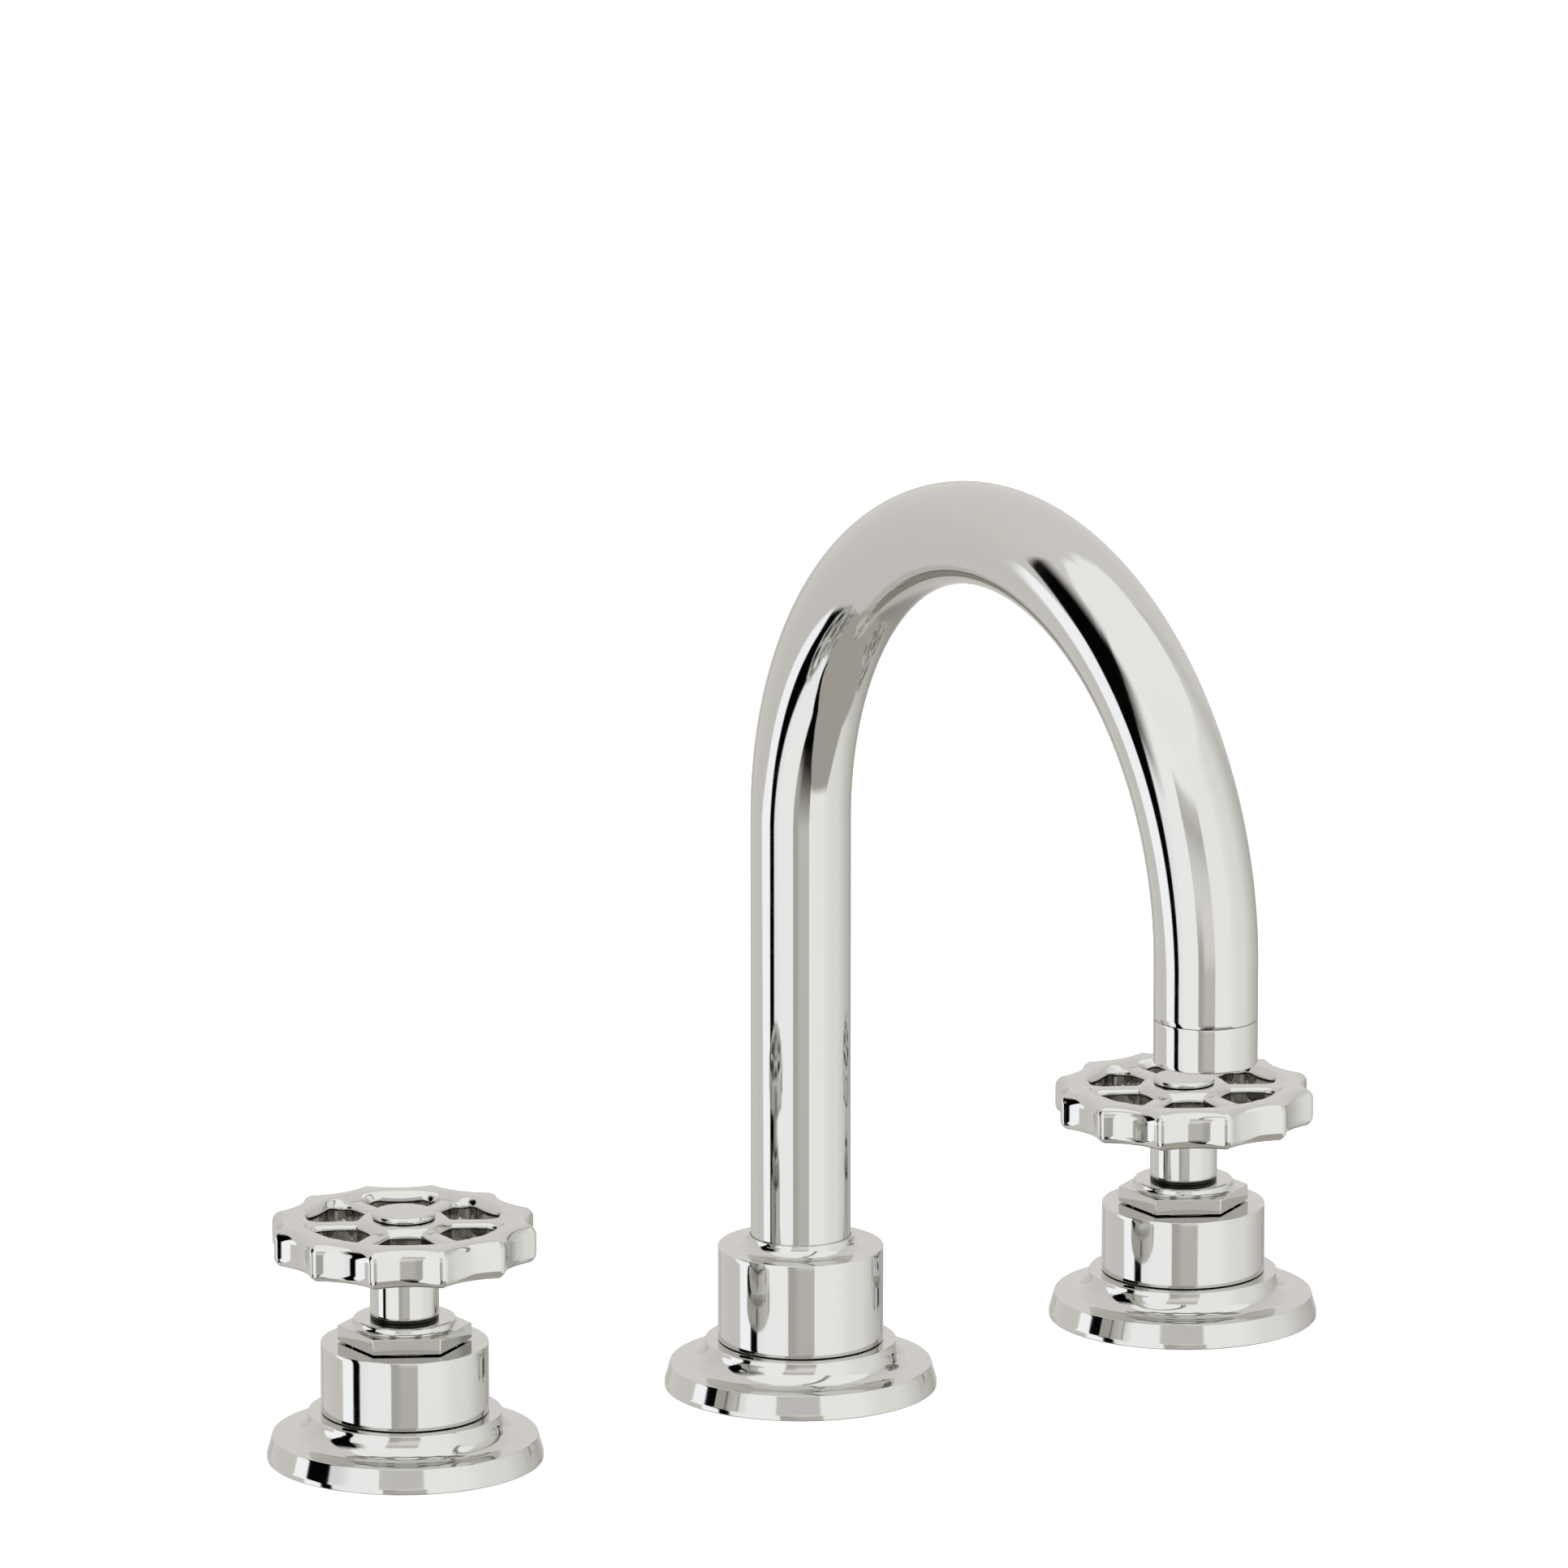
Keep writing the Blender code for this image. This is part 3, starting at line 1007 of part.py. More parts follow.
def make_tube(looks, parent):
    """Riser, half-circle arch towards -Y and short drop, as one bent tube."""
    centre = Vector((0, -ARCH_RADIUS, RISER_TOP))
    frames = [Matrix.Translation((0, 0, TUBE_BOTTOM))]
    for step in range(ARCH_STEPS + 1):
        swing = Matrix.Rotation(TURN / 2 * step / ARCH_STEPS, 4, "X")
        out = Matrix.Translation((0, ARCH_RADIUS, 0))
        frames.append(Matrix.Translation(centre) @ swing @ out)
    drop = Matrix.Translation((0, 0, TUBE_END - RISER_TOP))
    frames.append(drop @ frames[-1])
    mesh = bmesh.new()
    loops = []
    for radius, stations in ((TUBE_RADIUS, frames), (TUBE_BORE, reversed(frames))):
        for frame in stations:
            loop = ring(mesh, radius, 0, TUBE_SIDES)
            bmesh.ops.transform(mesh, matrix=frame, verts=loop)
            loops.append(loop)
    skin(mesh, loops, closed=True)
    finish(mesh, "spout_tube", looks["nickel"], parent)


def make_aerator(looks, parent):
    """Outlet ring screwed into the tube's end, its flow insert and its washer."""
    outlet = empty("outlet_frame", (0, -2 * ARCH_RADIUS, 0), parent)
    lip_bore = AERATOR_BORE - AERATOR_LIP
    insert_radius = AERATOR_BORE - GAP
    profile = [
        (TUBE_RADIUS - AERATOR_BEVEL, AERATOR_BOTTOM),
        (TUBE_RADIUS, AERATOR_BOTTOM + AERATOR_BEVEL),
        (TUBE_RADIUS, AERATOR_TOP),
        (SPIGOT_RADIUS, AERATOR_TOP),
        (SPIGOT_RADIUS, SPIGOT_TOP),
        (AERATOR_BORE, SPIGOT_TOP),
        (AERATOR_BORE, AERATOR_SEAT),
        (lip_bore, AERATOR_SEAT),
        (lip_bore, AERATOR_BOTTOM),
    ]
    turned("aerator_housing", profile, looks["nickel"], outlet, TUBE_SIDES)
    hole_circle = insert_radius * AERATOR_HOLE_CIRCLE_SHARE
    centres = [(0, 0)] + circle_points(hole_circle, AERATOR_HOLES)
    holes = [circle_points(insert_radius * AERATOR_HOLE_SHARE, AERATOR_HOLE_SIDES, centre)
             for centre in centres]
    plate("aerator_insert", circle_points(insert_radius, PLAIN_SIDES), holes, AERATOR_SEAT + GAP,
          SPIGOT_TOP, looks["white_plastic"], outlet)
    washer_bottom = SPIGOT_TOP + GAP
    flat_ring("aerator_washer", SPIGOT_RADIUS - AERATOR_WASHER_WIDTH, SPIGOT_RADIUS, washer_bottom,
              washer_bottom + AERATOR_WASHER_THICKNESS, looks["rubber"], outlet)


def make_tee(looks, parent):
    """Tee that joins the supplies, with the nut and washer that hold it to the shank."""
    flat_ring("tee_washer", NIPPLE_BORE, TEE_COLLAR_RADIUS, TEE_WASHER_BOTTOM, TEE_WASHER_TOP,
              looks["rubber"], parent)
    neck_hole = TEE_NECK_RADIUS + GAP
    nut_corner = PORT_HOLE + TEE_NUT_WIDTH
    profile = [
        (PORT_HOLE, TEE_NUT_SEAT),
        (neck_hole, TEE_NUT_SEAT),
        (neck_hole, TEE_NUT_BOTTOM),
        (nut_corner, TEE_NUT_BOTTOM, hexagon_share),
        (nut_corner, TEE_NUT_TOP, hexagon_share),
        (PORT_HOLE, TEE_NUT_TOP),
    ]
    turned("tee_nut", profile, looks["brass"], parent, HUB_SIDES)
    run = [
        (0, -TEE_HALF_LENGTH),
        (TEE_NIPPLE_RADIUS, -TEE_HALF_LENGTH),
        (TEE_NIPPLE_RADIUS, -TEE_BODY_HALF_LENGTH),
        (TEE_RADIUS, -TEE_BODY_HALF_LENGTH),
        (TEE_RADIUS, TEE_BODY_HALF_LENGTH),
        (TEE_NIPPLE_RADIUS, TEE_BODY_HALF_LENGTH),
        (TEE_NIPPLE_RADIUS, TEE_HALF_LENGTH),
        (0, TEE_HALF_LENGTH),
    ]
    tee = turned("tee", run, looks["brass"], parent)
    tee.rotation_euler = (0, TURN / 4, 0)
    tee.location = (0, 0, TEE_CENTRE)
    neck = turned("tee_neck",
                  [(0, TEE_CENTRE), (TEE_NECK_RADIUS, TEE_CENTRE), (TEE_NECK_RADIUS, TEE_COLLAR_BOTTOM),
                   (TEE_COLLAR_RADIUS, TEE_COLLAR_BOTTOM), (TEE_COLLAR_RADIUS, TEE_TOP), (0, TEE_TOP)],
                  None, parent)
    change(tee, neck, "UNION")
    down_bore = turned("tee_neck_bore",
                       [(0, TEE_CENTRE), (TEE_BORE, TEE_CENTRE), (TEE_BORE, TEE_TOP + OVERRUN),
                        (0, TEE_TOP + OVERRUN)], None, parent)
    change(tee, down_bore, "DIFFERENCE")
    reach = TEE_HALF_LENGTH + OVERRUN
    cross_bore = along_x("tee_cross_bore", TEE_BORE, -reach, reach, TEE_CENTRE, parent)
    change(tee, cross_bore, "DIFFERENCE")


def make_spout(looks):
    """The middle of the set: fixed post and deck hardware, and the tube that swivels on it."""
    fixed = empty("spout_frame", (0, 0, 0))
    moving = empty("spout_swivel_frame", (0, 0, 0), fixed)
    make_foot("spout_", looks, fixed)
    make_shank(looks, fixed)
    make_spout_seals(looks, fixed)
    make_tee(looks, fixed)
    make_spout_hub(looks, moving)
    make_set_screw(looks, moving)
    make_tube(looks, moving)
    make_aerator(looks, moving)


def main():
    """Build the whole faucet."""
    clear_scene()
    looks = {
        "nickel": metal_or_plastic("polished_nickel", (0.80, 0.79, 0.76), 0.08, 1),
        "brass": metal_or_plastic("machined_brass", (0.74, 0.58, 0.31), 0.3, 1),
        "steel": metal_or_plastic("stainless_steel", (0.62, 0.61, 0.59), 0.3, 1),
        "rubber": metal_or_plastic("black_rubber", (0.03, 0.03, 0.03), 0.8, 0),
        "black_plastic": metal_or_plastic("black_plastic", (0.015, 0.015, 0.015), 0.3, 0),
        "white_plastic": metal_or_plastic("white_plastic", (0.78, 0.78, 0.76), 0.4, 0),
        "ceramic": metal_or_plastic("ceramic", (0.86, 0.85, 0.82), 0.15, 0),
    }
    make_valve("hot_", -1, looks)
    make_valve("cold_", 1, looks)
    make_spout(looks)


main()
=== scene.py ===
import math
from functools import partial
import bmesh
import bpy
import numpy as np
from mathutils import Matrix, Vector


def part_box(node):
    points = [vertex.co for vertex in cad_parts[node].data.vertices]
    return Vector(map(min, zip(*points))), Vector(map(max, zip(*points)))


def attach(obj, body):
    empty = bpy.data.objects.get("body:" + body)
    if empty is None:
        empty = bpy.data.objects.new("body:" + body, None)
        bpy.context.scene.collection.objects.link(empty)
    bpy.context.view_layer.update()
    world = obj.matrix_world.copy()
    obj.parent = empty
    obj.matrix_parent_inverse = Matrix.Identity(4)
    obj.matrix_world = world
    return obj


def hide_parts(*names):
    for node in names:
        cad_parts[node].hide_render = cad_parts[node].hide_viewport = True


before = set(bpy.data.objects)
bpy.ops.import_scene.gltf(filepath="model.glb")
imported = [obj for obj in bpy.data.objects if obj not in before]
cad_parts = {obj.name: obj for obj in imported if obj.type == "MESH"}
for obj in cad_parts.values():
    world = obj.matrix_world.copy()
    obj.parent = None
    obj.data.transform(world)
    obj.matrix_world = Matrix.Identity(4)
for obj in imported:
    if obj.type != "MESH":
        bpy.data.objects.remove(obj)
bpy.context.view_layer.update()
mm = 0.001
weldDistance = 0.000003  # points of a piece that are closer than this become one
sharpAngle = 32  # edges that bend by more degrees than this stay crisp
valveSpots = {"hot": (-101.6 * mm, 0.0), "cold": (101.6 * mm, 0.0)}  # where the two valves stand
spoutSpot = (0.0, 0.0)
outletSpot = (0.0, -152.1 * mm)
print("frame loaded")


# Each corner of an outline becomes an arc that touches both of its sides: its centre lies on the line that
# halves the corner, radius / sin(half the corner) away, and its points turn evenly between the touching
# points. A point near each end of every straight, at that share of its length, keeps it flat in the shading.
def roundedPath(corners, steps=7, closed=True, near=0.05):
    data = np.array(corners, float) * mm
    spot, radius = data[:, :2], np.maximum(data[:, 2:], 1e-8)  # a sharp corner gets a radius too small to see
    back, ahead = np.roll(spot, 1, 0) - spot, np.roll(spot, -1, 0) - spot
    back /= np.linalg.norm(back, axis=1, keepdims=True)
    ahead /= np.linalg.norm(ahead, axis=1, keepdims=True)
    half = np.arccos(np.clip((back * ahead).sum(1, keepdims=True), -1, 1)) / 2
    middle = back + ahead
    middle *= radius / np.sin(half) / np.linalg.norm(middle, axis=1, keepdims=True)
    start, end = spot + back * radius / np.tan(half), spot + ahead * radius / np.tan(half)
    turn = (math.pi - 2 * half)[:, None]
    share = np.linspace(0, 1, steps)[None, :, None]
    arc = (np.sin((1 - share) * turn) * (start - spot - middle)[:, None]
           + np.sin(share * turn) * (end - spot - middle)[:, None]) / np.sin(turn)
    arc += (spot + middle)[:, None]
    straight = np.roll(start, -1, 0) - end
    after = (end + straight * near)[:, None]
    before = np.roll(end + straight * (1 - near), 1, 0)[:, None]
    path = np.concatenate([before, arc, after], 1)
    if closed:
        return path.reshape(-1, 2)
    return np.concatenate([spot[:1], path[1:-1].reshape(-1, 2), spot[-1:]])


# Quad (i, j) joins grid points (i, j), (i, j + 1), (i + 1, j + 1) and (i + 1, j).
def gridFaces(rows, columns, loopRows=False, loopColumns=True):
    upTo, onTo = rows - (not loopRows), columns - (not loopColumns)
    i, j = np.meshgrid(np.arange(upTo), np.arange(onTo), indexing="ij")
    up, on = (i + 1) % rows, (j + 1) % columns
    return np.stack([i * columns + j, i * columns + on, up * columns + on, up * columns + j], -1).reshape(-1, 4)


# Point (i, j) is the profile's point i, a radius and a height, turned about an upright axis to angle j.
def turned(path, spot, angles, closed=True):
    r, z = path[:, :1], path[:, 1:]
    grid = np.stack([spot[0] + r * np.cos(angles), spot[1] + r * np.sin(angles), z + 0 * angles], -1)
    return grid.reshape(-1, 3), gridFaces(len(path), len(angles), closed)


# Point (i, j) lies the share i of the way from point j of one loop to point j of the other, at one height.
def flatBetween(inner, outer, height, shares, spot):
    s = np.array(shares)[:, None, None]
    flat = inner * (1 - s) + outer * s + spot
    grid = np.concatenate([flat, np.full(flat.shape[:2] + (1,), height)], -1)
    return grid.reshape(-1, 3), gridFaces(len(shares), inner.shape[0])


def spin(points, angle):  # turns flat points about the origin
    c, s = math.cos(angle), math.sin(angle)
    return points @ np.array([[c, s], [-s, c]])


# Joins the grids into one closed mesh: points that fall together become one, and faces point outwards.
def addPiece(name, grids, material, body, node):
    starts = np.cumsum([0] + [len(points) for points, faces in grids[:-1]])
    points = np.concatenate([points for points, faces in grids])
    faces = np.concatenate([grid[1] + start for start, grid in zip(starts, grids)])
    mesh = bpy.data.meshes.new(name)
    mesh.from_pydata(points.tolist(), [], faces.tolist())
    form = bmesh.new()
    form.from_mesh(mesh)
    bmesh.ops.remove_doubles(form, verts=form.verts, dist=weldDistance)
    bmesh.ops.recalc_face_normals(form, faces=form.faces)
    form.to_mesh(mesh)
    form.free()
    mesh.shade_smooth()
    mesh.set_sharp_from_angle(angle=math.radians(sharpAngle))
    mesh.materials.append(material)
    piece = bpy.data.objects.new(name, mesh)
    bpy.context.scene.collection.objects.link(piece)
    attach(piece, body)
    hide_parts(node)
    return piece


around = np.arange(256) * math.tau / 256  # the angles of every turned piece


def feed(tree, socket, value):  # a number is set on the socket, another socket is linked to it
    if isinstance(value, (int, float)):
        socket.default_value = value
    else:
        tree.links.new(value, socket)


def mathNode(tree, operation, *values):  # the values are numbers or sockets
    node = tree.nodes.new("ShaderNodeMath")
    node.operation = operation
    for socket, value in zip(node.inputs, values):
        feed(tree, socket, value)
    return node.outputs["Value"]


def colourMix(tree, factor, first, second):  # the first colour where the factor is 0, the second where it is 1
    node = tree.nodes.new("ShaderNodeMix")
    node.data_type = "RGBA"
    for key, source in (("Factor", factor), ("A", first), ("B", second)):
        tree.links.new(source, node.inputs[key])
    return node.outputs["Result"]


def effectGroup(name, inputs):  # a node group with the named inputs and the three outputs that a material takes
    group = bpy.data.node_groups.new(name, "ShaderNodeTree")
    for key, value in inputs.items():
        kind = "NodeSocketFloat" if isinstance(value, float) else "NodeSocketColor"
        group.interface.new_socket(name=key, in_out="INPUT", socket_type=kind).default_value = value
    for key, kind in (("Colour", "Color"), ("Roughness", "Float"), ("Normal", "Vector")):
        group.interface.new_socket(name=key, in_out="OUTPUT", socket_type="NodeSocket" + kind)
    return group


# Hand polish: slow drifts of tone and gloss over the surface, and a faint unevenness of its face. Where the mesh's
# recess weight says so, the colour is mixed towards a darker tone: painted shade in the recesses. A cut thread can
# be laid over it: ridges that rise and fall once every pitch of height, between two heights.
def polishShadeGroup():
    group = effectGroup("polishAndPaintedShade", {
        "Metal": (0.8, 0.8, 0.77, 1), "Drift": (0.8, 0.8, 0.77, 1), "Gloss": 0.08, "Haze": 0.03,
        "Marks Per Metre": 60.0, "Unevenness": 0.05, "Painted Shade Tone": (0.4, 0.39, 0.365, 1), "Thread Depth": 0.0,
        "Thread Pitch": 0.0015, "Thread Bottom": -0.0404, "Thread Top": 0.0077})
    fixed = {"fineMarks": 4.7, "hazeFrom": 0.48, "hazeTo": 0.75, "faceDepth": 0.0001}
    add, join, sums = group.nodes.new, group.links.new, partial(mathNode, group)
    given, out = add("NodeGroupInput").outputs, add("NodeGroupOutput").inputs
    place = add("ShaderNodeTexCoord").outputs["Object"]
    slow = add("ShaderNodeTexNoise")
    slow.inputs["Detail"].default_value = 3
    join(place, slow.inputs["Vector"])
    join(given["Marks Per Metre"], slow.inputs["Scale"])
    tone = colourMix(group, slow.outputs["Fac"], given["Metal"], given["Drift"])
    # painted shade: the recess weight from the mesh mixes the colour towards the darker shade tone
    shadeWeight = add("ShaderNodeAttribute")
    shadeWeight.attribute_name = "recess"
    join(colourMix(group, shadeWeight.outputs["Fac"], tone, given["Painted Shade Tone"]), out["Colour"])
    fine = add("ShaderNodeTexNoise")
    fine.inputs["Detail"].default_value = 5
    fine.inputs["Distortion"].default_value = 0.4
    join(place, fine.inputs["Vector"])
    join(sums("MULTIPLY", given["Marks Per Metre"], fixed["fineMarks"]), fine.inputs["Scale"])
    bloom = add("ShaderNodeMapRange")
    bloom.inputs["From Min"].default_value = fixed["hazeFrom"]
    bloom.inputs["From Max"].default_value = fixed["hazeTo"]
    join(fine.outputs["Fac"], bloom.inputs["Value"])
    join(sums("MULTIPLY_ADD", bloom.outputs["Result"], given["Haze"], given["Gloss"]), out["Roughness"])
    face = add("ShaderNodeBump")
    face.inputs["Distance"].default_value = fixed["faceDepth"]
    join(given["Unevenness"], face.inputs["Strength"])
    join(slow.outputs["Fac"], face.inputs["Height"])
    parts = add("ShaderNodeSeparateXYZ")
    join(place, parts.inputs["Vector"])
    height, pitch = parts.outputs["Z"], given["Thread Pitch"]
    ridge = sums("DIVIDE", sums("PINGPONG", height, sums("MULTIPLY", pitch, 0.5)), pitch)
    inside = sums("MULTIPLY", sums("GREATER_THAN", height, given["Thread Bottom"]),
                  sums("LESS_THAN", height, given["Thread Top"]))
    thread = add("ShaderNodeBump")
    thread.inputs["Distance"].default_value = 1.0
    join(sums("MULTIPLY", sums("MULTIPLY", ridge, inside), given["Thread Depth"]), thread.inputs["Height"])
    join(face.outputs["Normal"], thread.inputs["Normal"])
    join(thread.outputs["Normal"], out["Normal"])
    return group


# A body-colour effect for rubber, plastic and ceramic: faint mottling, with a fine grain in the surface.
def mouldGroup():
    group = effectGroup("mouldedSkin", {
        "Base": (0.02, 0.02, 0.02, 1), "Mottle": (0.03, 0.03, 0.03, 1), "Gloss": 0.5, "Grain": 0.2,
        "Grains Per Metre": 1500.0})
    fixed = {"cloudsPerMetre": 180, "glossDrift": 0.12, "grainDepth": 0.00005}
    add, join = group.nodes.new, group.links.new
    given, out = add("NodeGroupInput").outputs, add("NodeGroupOutput").inputs
    place = add("ShaderNodeTexCoord").outputs["Object"]
    cloud = add("ShaderNodeTexNoise")
    cloud.inputs["Scale"].default_value = fixed["cloudsPerMetre"]
    cloud.inputs["Detail"].default_value = 4
    join(place, cloud.inputs["Vector"])
    join(colourMix(group, cloud.outputs["Fac"], given["Base"], given["Mottle"]), out["Colour"])
    grain = add("ShaderNodeTexVoronoi")
    join(place, grain.inputs["Vector"])
    join(given["Grains Per Metre"], grain.inputs["Scale"])
    rough = mathNode(group, "MULTIPLY_ADD", cloud.outputs["Fac"], fixed["glossDrift"], given["Gloss"])
    join(rough, out["Roughness"])
    bump = add("ShaderNodeBump")
    bump.inputs["Distance"].default_value = fixed["grainDepth"]
    join(given["Grain"], bump.inputs["Strength"])
    join(grain.outputs["Distance"], bump.inputs["Height"])
    join(bump.outputs["Normal"], out["Normal"])
    return group


polishAndPaintedShade, mouldedSkin = polishShadeGroup(), mouldGroup()


# A material that takes its colour, roughness and normal from one of the groups, with its own values. A number
# that is the same all over, such as the metallic value, is set on the shader itself.
def groupMaterial(name, group, values, metallic):
    material = bpy.data.materials.new(name)
    material.use_nodes = True
    tree = material.node_tree
    shader = tree.nodes["Principled BSDF"]
    shader.inputs["Metallic"].default_value = metallic
    effect = tree.nodes.new("ShaderNodeGroup")
    effect.node_tree = group
    for key, value in values.items():
        effect.inputs[key].default_value = value
    tree.links.new(effect.outputs["Colour"], shader.inputs["Base Color"])
    tree.links.new(effect.outputs["Roughness"], shader.inputs["Roughness"])
    tree.links.new(effect.outputs["Normal"], shader.inputs["Normal"])
    return material


nickel = groupMaterial("polishedNickel", polishAndPaintedShade, {
    "Metal": (0.61, 0.605, 0.585, 1), "Drift": (0.59, 0.585, 0.56, 1), "Gloss": 0.05, "Haze": 0.035,
    "Marks Per Metre": 45.0, "Unevenness": 0.02}, 1.0)
brassValues = {"Metal": (0.72, 0.53, 0.27, 1), "Drift": (0.60, 0.41, 0.19, 1), "Gloss": 0.24, "Haze": 0.2,
               "Marks Per Metre": 150.0, "Unevenness": 0.25}
brass = groupMaterial("turnedBrass", polishAndPaintedShade, brassValues, 1.0)
threadedBrass = groupMaterial("threadedBrass", polishAndPaintedShade, {**brassValues, "Thread Depth": 0.0011}, 1.0)
steel = groupMaterial("stainlessSteel", polishAndPaintedShade, {
    "Metal": (0.58, 0.58, 0.57, 1), "Drift": (0.50, 0.50, 0.49, 1), "Gloss": 0.2, "Haze": 0.15,
    "Marks Per Metre": 200.0, "Unevenness": 0.15}, 1.0)
rubber = groupMaterial("blackRubber", mouldedSkin, {
    "Base": (0.012, 0.012, 0.012, 1), "Mottle": (0.022, 0.021, 0.02, 1), "Gloss": 0.55, "Grain": 0.35,
    "Grains Per Metre": 2500.0}, 0.0)
darkPlastic = groupMaterial("blackPlastic", mouldedSkin, {
    "Base": (0.004, 0.004, 0.004, 1), "Mottle": (0.007, 0.007, 0.006, 1), "Gloss": 0.2, "Grain": 0.05,
    "Grains Per Metre": 3000.0}, 0.0)
darkPlastic.node_tree.nodes["Principled BSDF"].inputs["Specular IOR Level"].default_value = 0.25
palePlastic = groupMaterial("whitePlastic", mouldedSkin, {
    "Base": (0.74, 0.74, 0.72, 1), "Mottle": (0.70, 0.70, 0.67, 1), "Gloss": 0.3, "Grain": 0.05,
    "Grains Per Metre": 3000.0}, 0.0)
whiteCeramic = groupMaterial("whiteCeramic", mouldedSkin, {
    "Base": (0.80, 0.79, 0.75, 1), "Mottle": (0.76, 0.74, 0.69, 1), "Gloss": 0.1, "Grain": 0.02,
    "Grains Per Metre": 3500.0}, 0.0)
finishes = {"polished_nickel": nickel, "machined_brass": brass, "stainless_steel": steel,
            "black_rubber": rubber, "black_plastic": darkPlastic, "white_plastic": palePlastic,
            "ceramic": whiteCeramic}
print("materials ready")

underDeck = {"top": -2 * mm, "reach": 30 * mm}  # a node that starts below the first and ends below the second
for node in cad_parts.values():  # the CAD's own pieces get the finish that their slot names
    for number, old in enumerate(node.data.materials):
        node.data.materials[number] = finishes[old.name.split(".")[0]]
for name in ("hot_valve_body", "cold_valve_body", "spout_shank"):  # the thread runs up the part in the deck's hole
    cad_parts[name].data.materials[0] = threadedBrass
for name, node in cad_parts.items():  # the deck hides what is under it, also in mirrored light
    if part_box(name)[0].z < underDeck["top"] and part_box(name)[1].z < underDeck["reach"]:
        node.visible_glossy = False
print("finishes given")


flangeSizes = {"footRadius": 29.66, "footEdge": 0.1, "footTop": 1.1, "footRound": 0.9, "edgeRadius": 28.5,
               "edgeHeight": 5.2, "edgeRound": 0.22, "coveFoot": 5.42, "cove": 4.1, "stepRadius": 20.85,
               "stepHeight": 10.35, "stepRound": 0.25, "bore": 14.3, "pocket": 18.4, "pocketTop": 7.95,
               "pocketFoot": 6.4, "flare": 22.0, "recess": 27.4, "recessTop": 2.8}


# The section goes out along the foot, up the slanted edge, in over the cove and the step, down the bore and out
# through the hollow of the underside, and is turned about the upright axis.
def flange(name, spot):
    v = flangeSizes
    path = roundedPath([
        (v["recess"], 0, 0), (v["footRadius"], 0, v["footEdge"]), (v["footRadius"], v["footTop"], v["footRound"]),
        (v["edgeRadius"], v["edgeHeight"], v["edgeRound"]), (v["stepRadius"], v["coveFoot"], v["cove"]),
        (v["stepRadius"], v["stepHeight"], v["stepRound"]), (v["bore"], v["stepHeight"], 0),
        (v["bore"], v["pocketTop"], 0), (v["pocket"], v["pocketTop"], 0), (v["pocket"], v["pocketFoot"], 0),
        (v["flare"], v["recessTop"], 0), (v["recess"], v["recessTop"], 0)], 12)
    addPiece(name + "_dressed", [turned(path, spot, around)], nickel, "root", name)


flange("spout_flange", spoutSpot)
for side, spot in valveSpots.items():
    flange(side + "_flange", spot)
print("flanges made")


hubSizes = {"radius": 18.06, "foot": 10.5, "top": 25.65, "edgeRound": 0.22, "bore": 14.3, "skirtHole": 11.8,
            "skirtFoot": 21, "skirtEdge": 0.1}
spoutHubSizes = {"radius": 18.06, "foot": 10.5, "top": 31.4, "edgeRound": 0.22, "coveFoot": 31.42, "cove": 2.5,
                 "neck": 11.53, "neckTop": 34.0, "neckEdge": 0.12, "socket": 11.0, "socketEdge": 0.1,
                 "socketFoot": 29, "bore": 9.43, "chamber": 13.6, "chamberTop": 27.6, "chamberFoot": 13.35,
                 "footBore": 15.6, "screwHole": 2.3, "screwHeight": 15.65, "screwMiddle": 16.25, "screwReach": 6.5}


# The section goes up the outside, in over the top and down the hole, and is turned about the upright axis.
def valveHub(name, spot):
    v = hubSizes
    path = roundedPath([
        (v["bore"], v["foot"], 0), (v["radius"], v["foot"], v["edgeRound"]),
        (v["radius"], v["top"], v["edgeRound"]), (v["skirtHole"], v["top"], v["skirtEdge"]),
        (v["skirtHole"], v["skirtFoot"], 0), (v["bore"], v["skirtFoot"], 0)])
    addPiece(name + "_dressed", [turned(path, spot, around)], nickel, "root", name)


# Turned like the valves' hubs, with a cove up to its neck, the tube's socket and the chamber for the fixed post.
# The set screw's hole, a plain round bar across the back wall, is then taken off it.
def spoutHub(name, spot):
    v = spoutHubSizes
    path = roundedPath([
        (v["footBore"], v["foot"], 0), (v["radius"], v["foot"], v["edgeRound"]),
        (v["radius"], v["top"], v["edgeRound"]), (v["neck"], v["coveFoot"], v["cove"]),
        (v["neck"], v["neckTop"], v["neckEdge"]), (v["socket"], v["neckTop"], v["socketEdge"]),
        (v["socket"], v["socketFoot"], 0), (v["bore"], v["socketFoot"], 0), (v["bore"], v["chamberTop"], 0),
        (v["chamber"], v["chamberTop"], 0), (v["chamber"], v["chamberFoot"], 0),
        (v["footBore"], v["chamberFoot"], 0)], 12)
    hub = addPiece(name + "_dressed", [turned(path, spot, around)], nickel, "spout", name)
    sides = 48
    lying = Matrix.Rotation(math.pi / 2, 4, "X") @ Matrix.Rotation(math.pi / sides, 4, "Z")
    place = Matrix.Translation((0, v["screwMiddle"] * mm, v["screwHeight"] * mm)) @ lying
    form = bmesh.new()
    bmesh.ops.create_cone(form, cap_ends=True, segments=sides, radius1=v["screwHole"] * mm,
                          radius2=v["screwHole"] * mm, depth=v["screwReach"] * mm, matrix=place)
    bar = bpy.data.meshes.new("screwHole")
    form.to_mesh(bar)
    form.free()
    cutter = bpy.data.objects.new("screwHole", bar)
    bpy.context.scene.collection.objects.link(cutter)
    bpy.context.view_layer.update()
    cut = hub.modifiers.new("screwHole", "BOOLEAN")
    cut.operation, cut.solver, cut.object = "DIFFERENCE", "EXACT", cutter
    bored = bpy.data.meshes.new_from_object(hub.evaluated_get(bpy.context.evaluated_depsgraph_get()))
    hub.modifiers.clear()
    hub.data = bored
    bored.set_sharp_from_angle(angle=math.radians(sharpAngle))
    bpy.data.objects.remove(cutter)


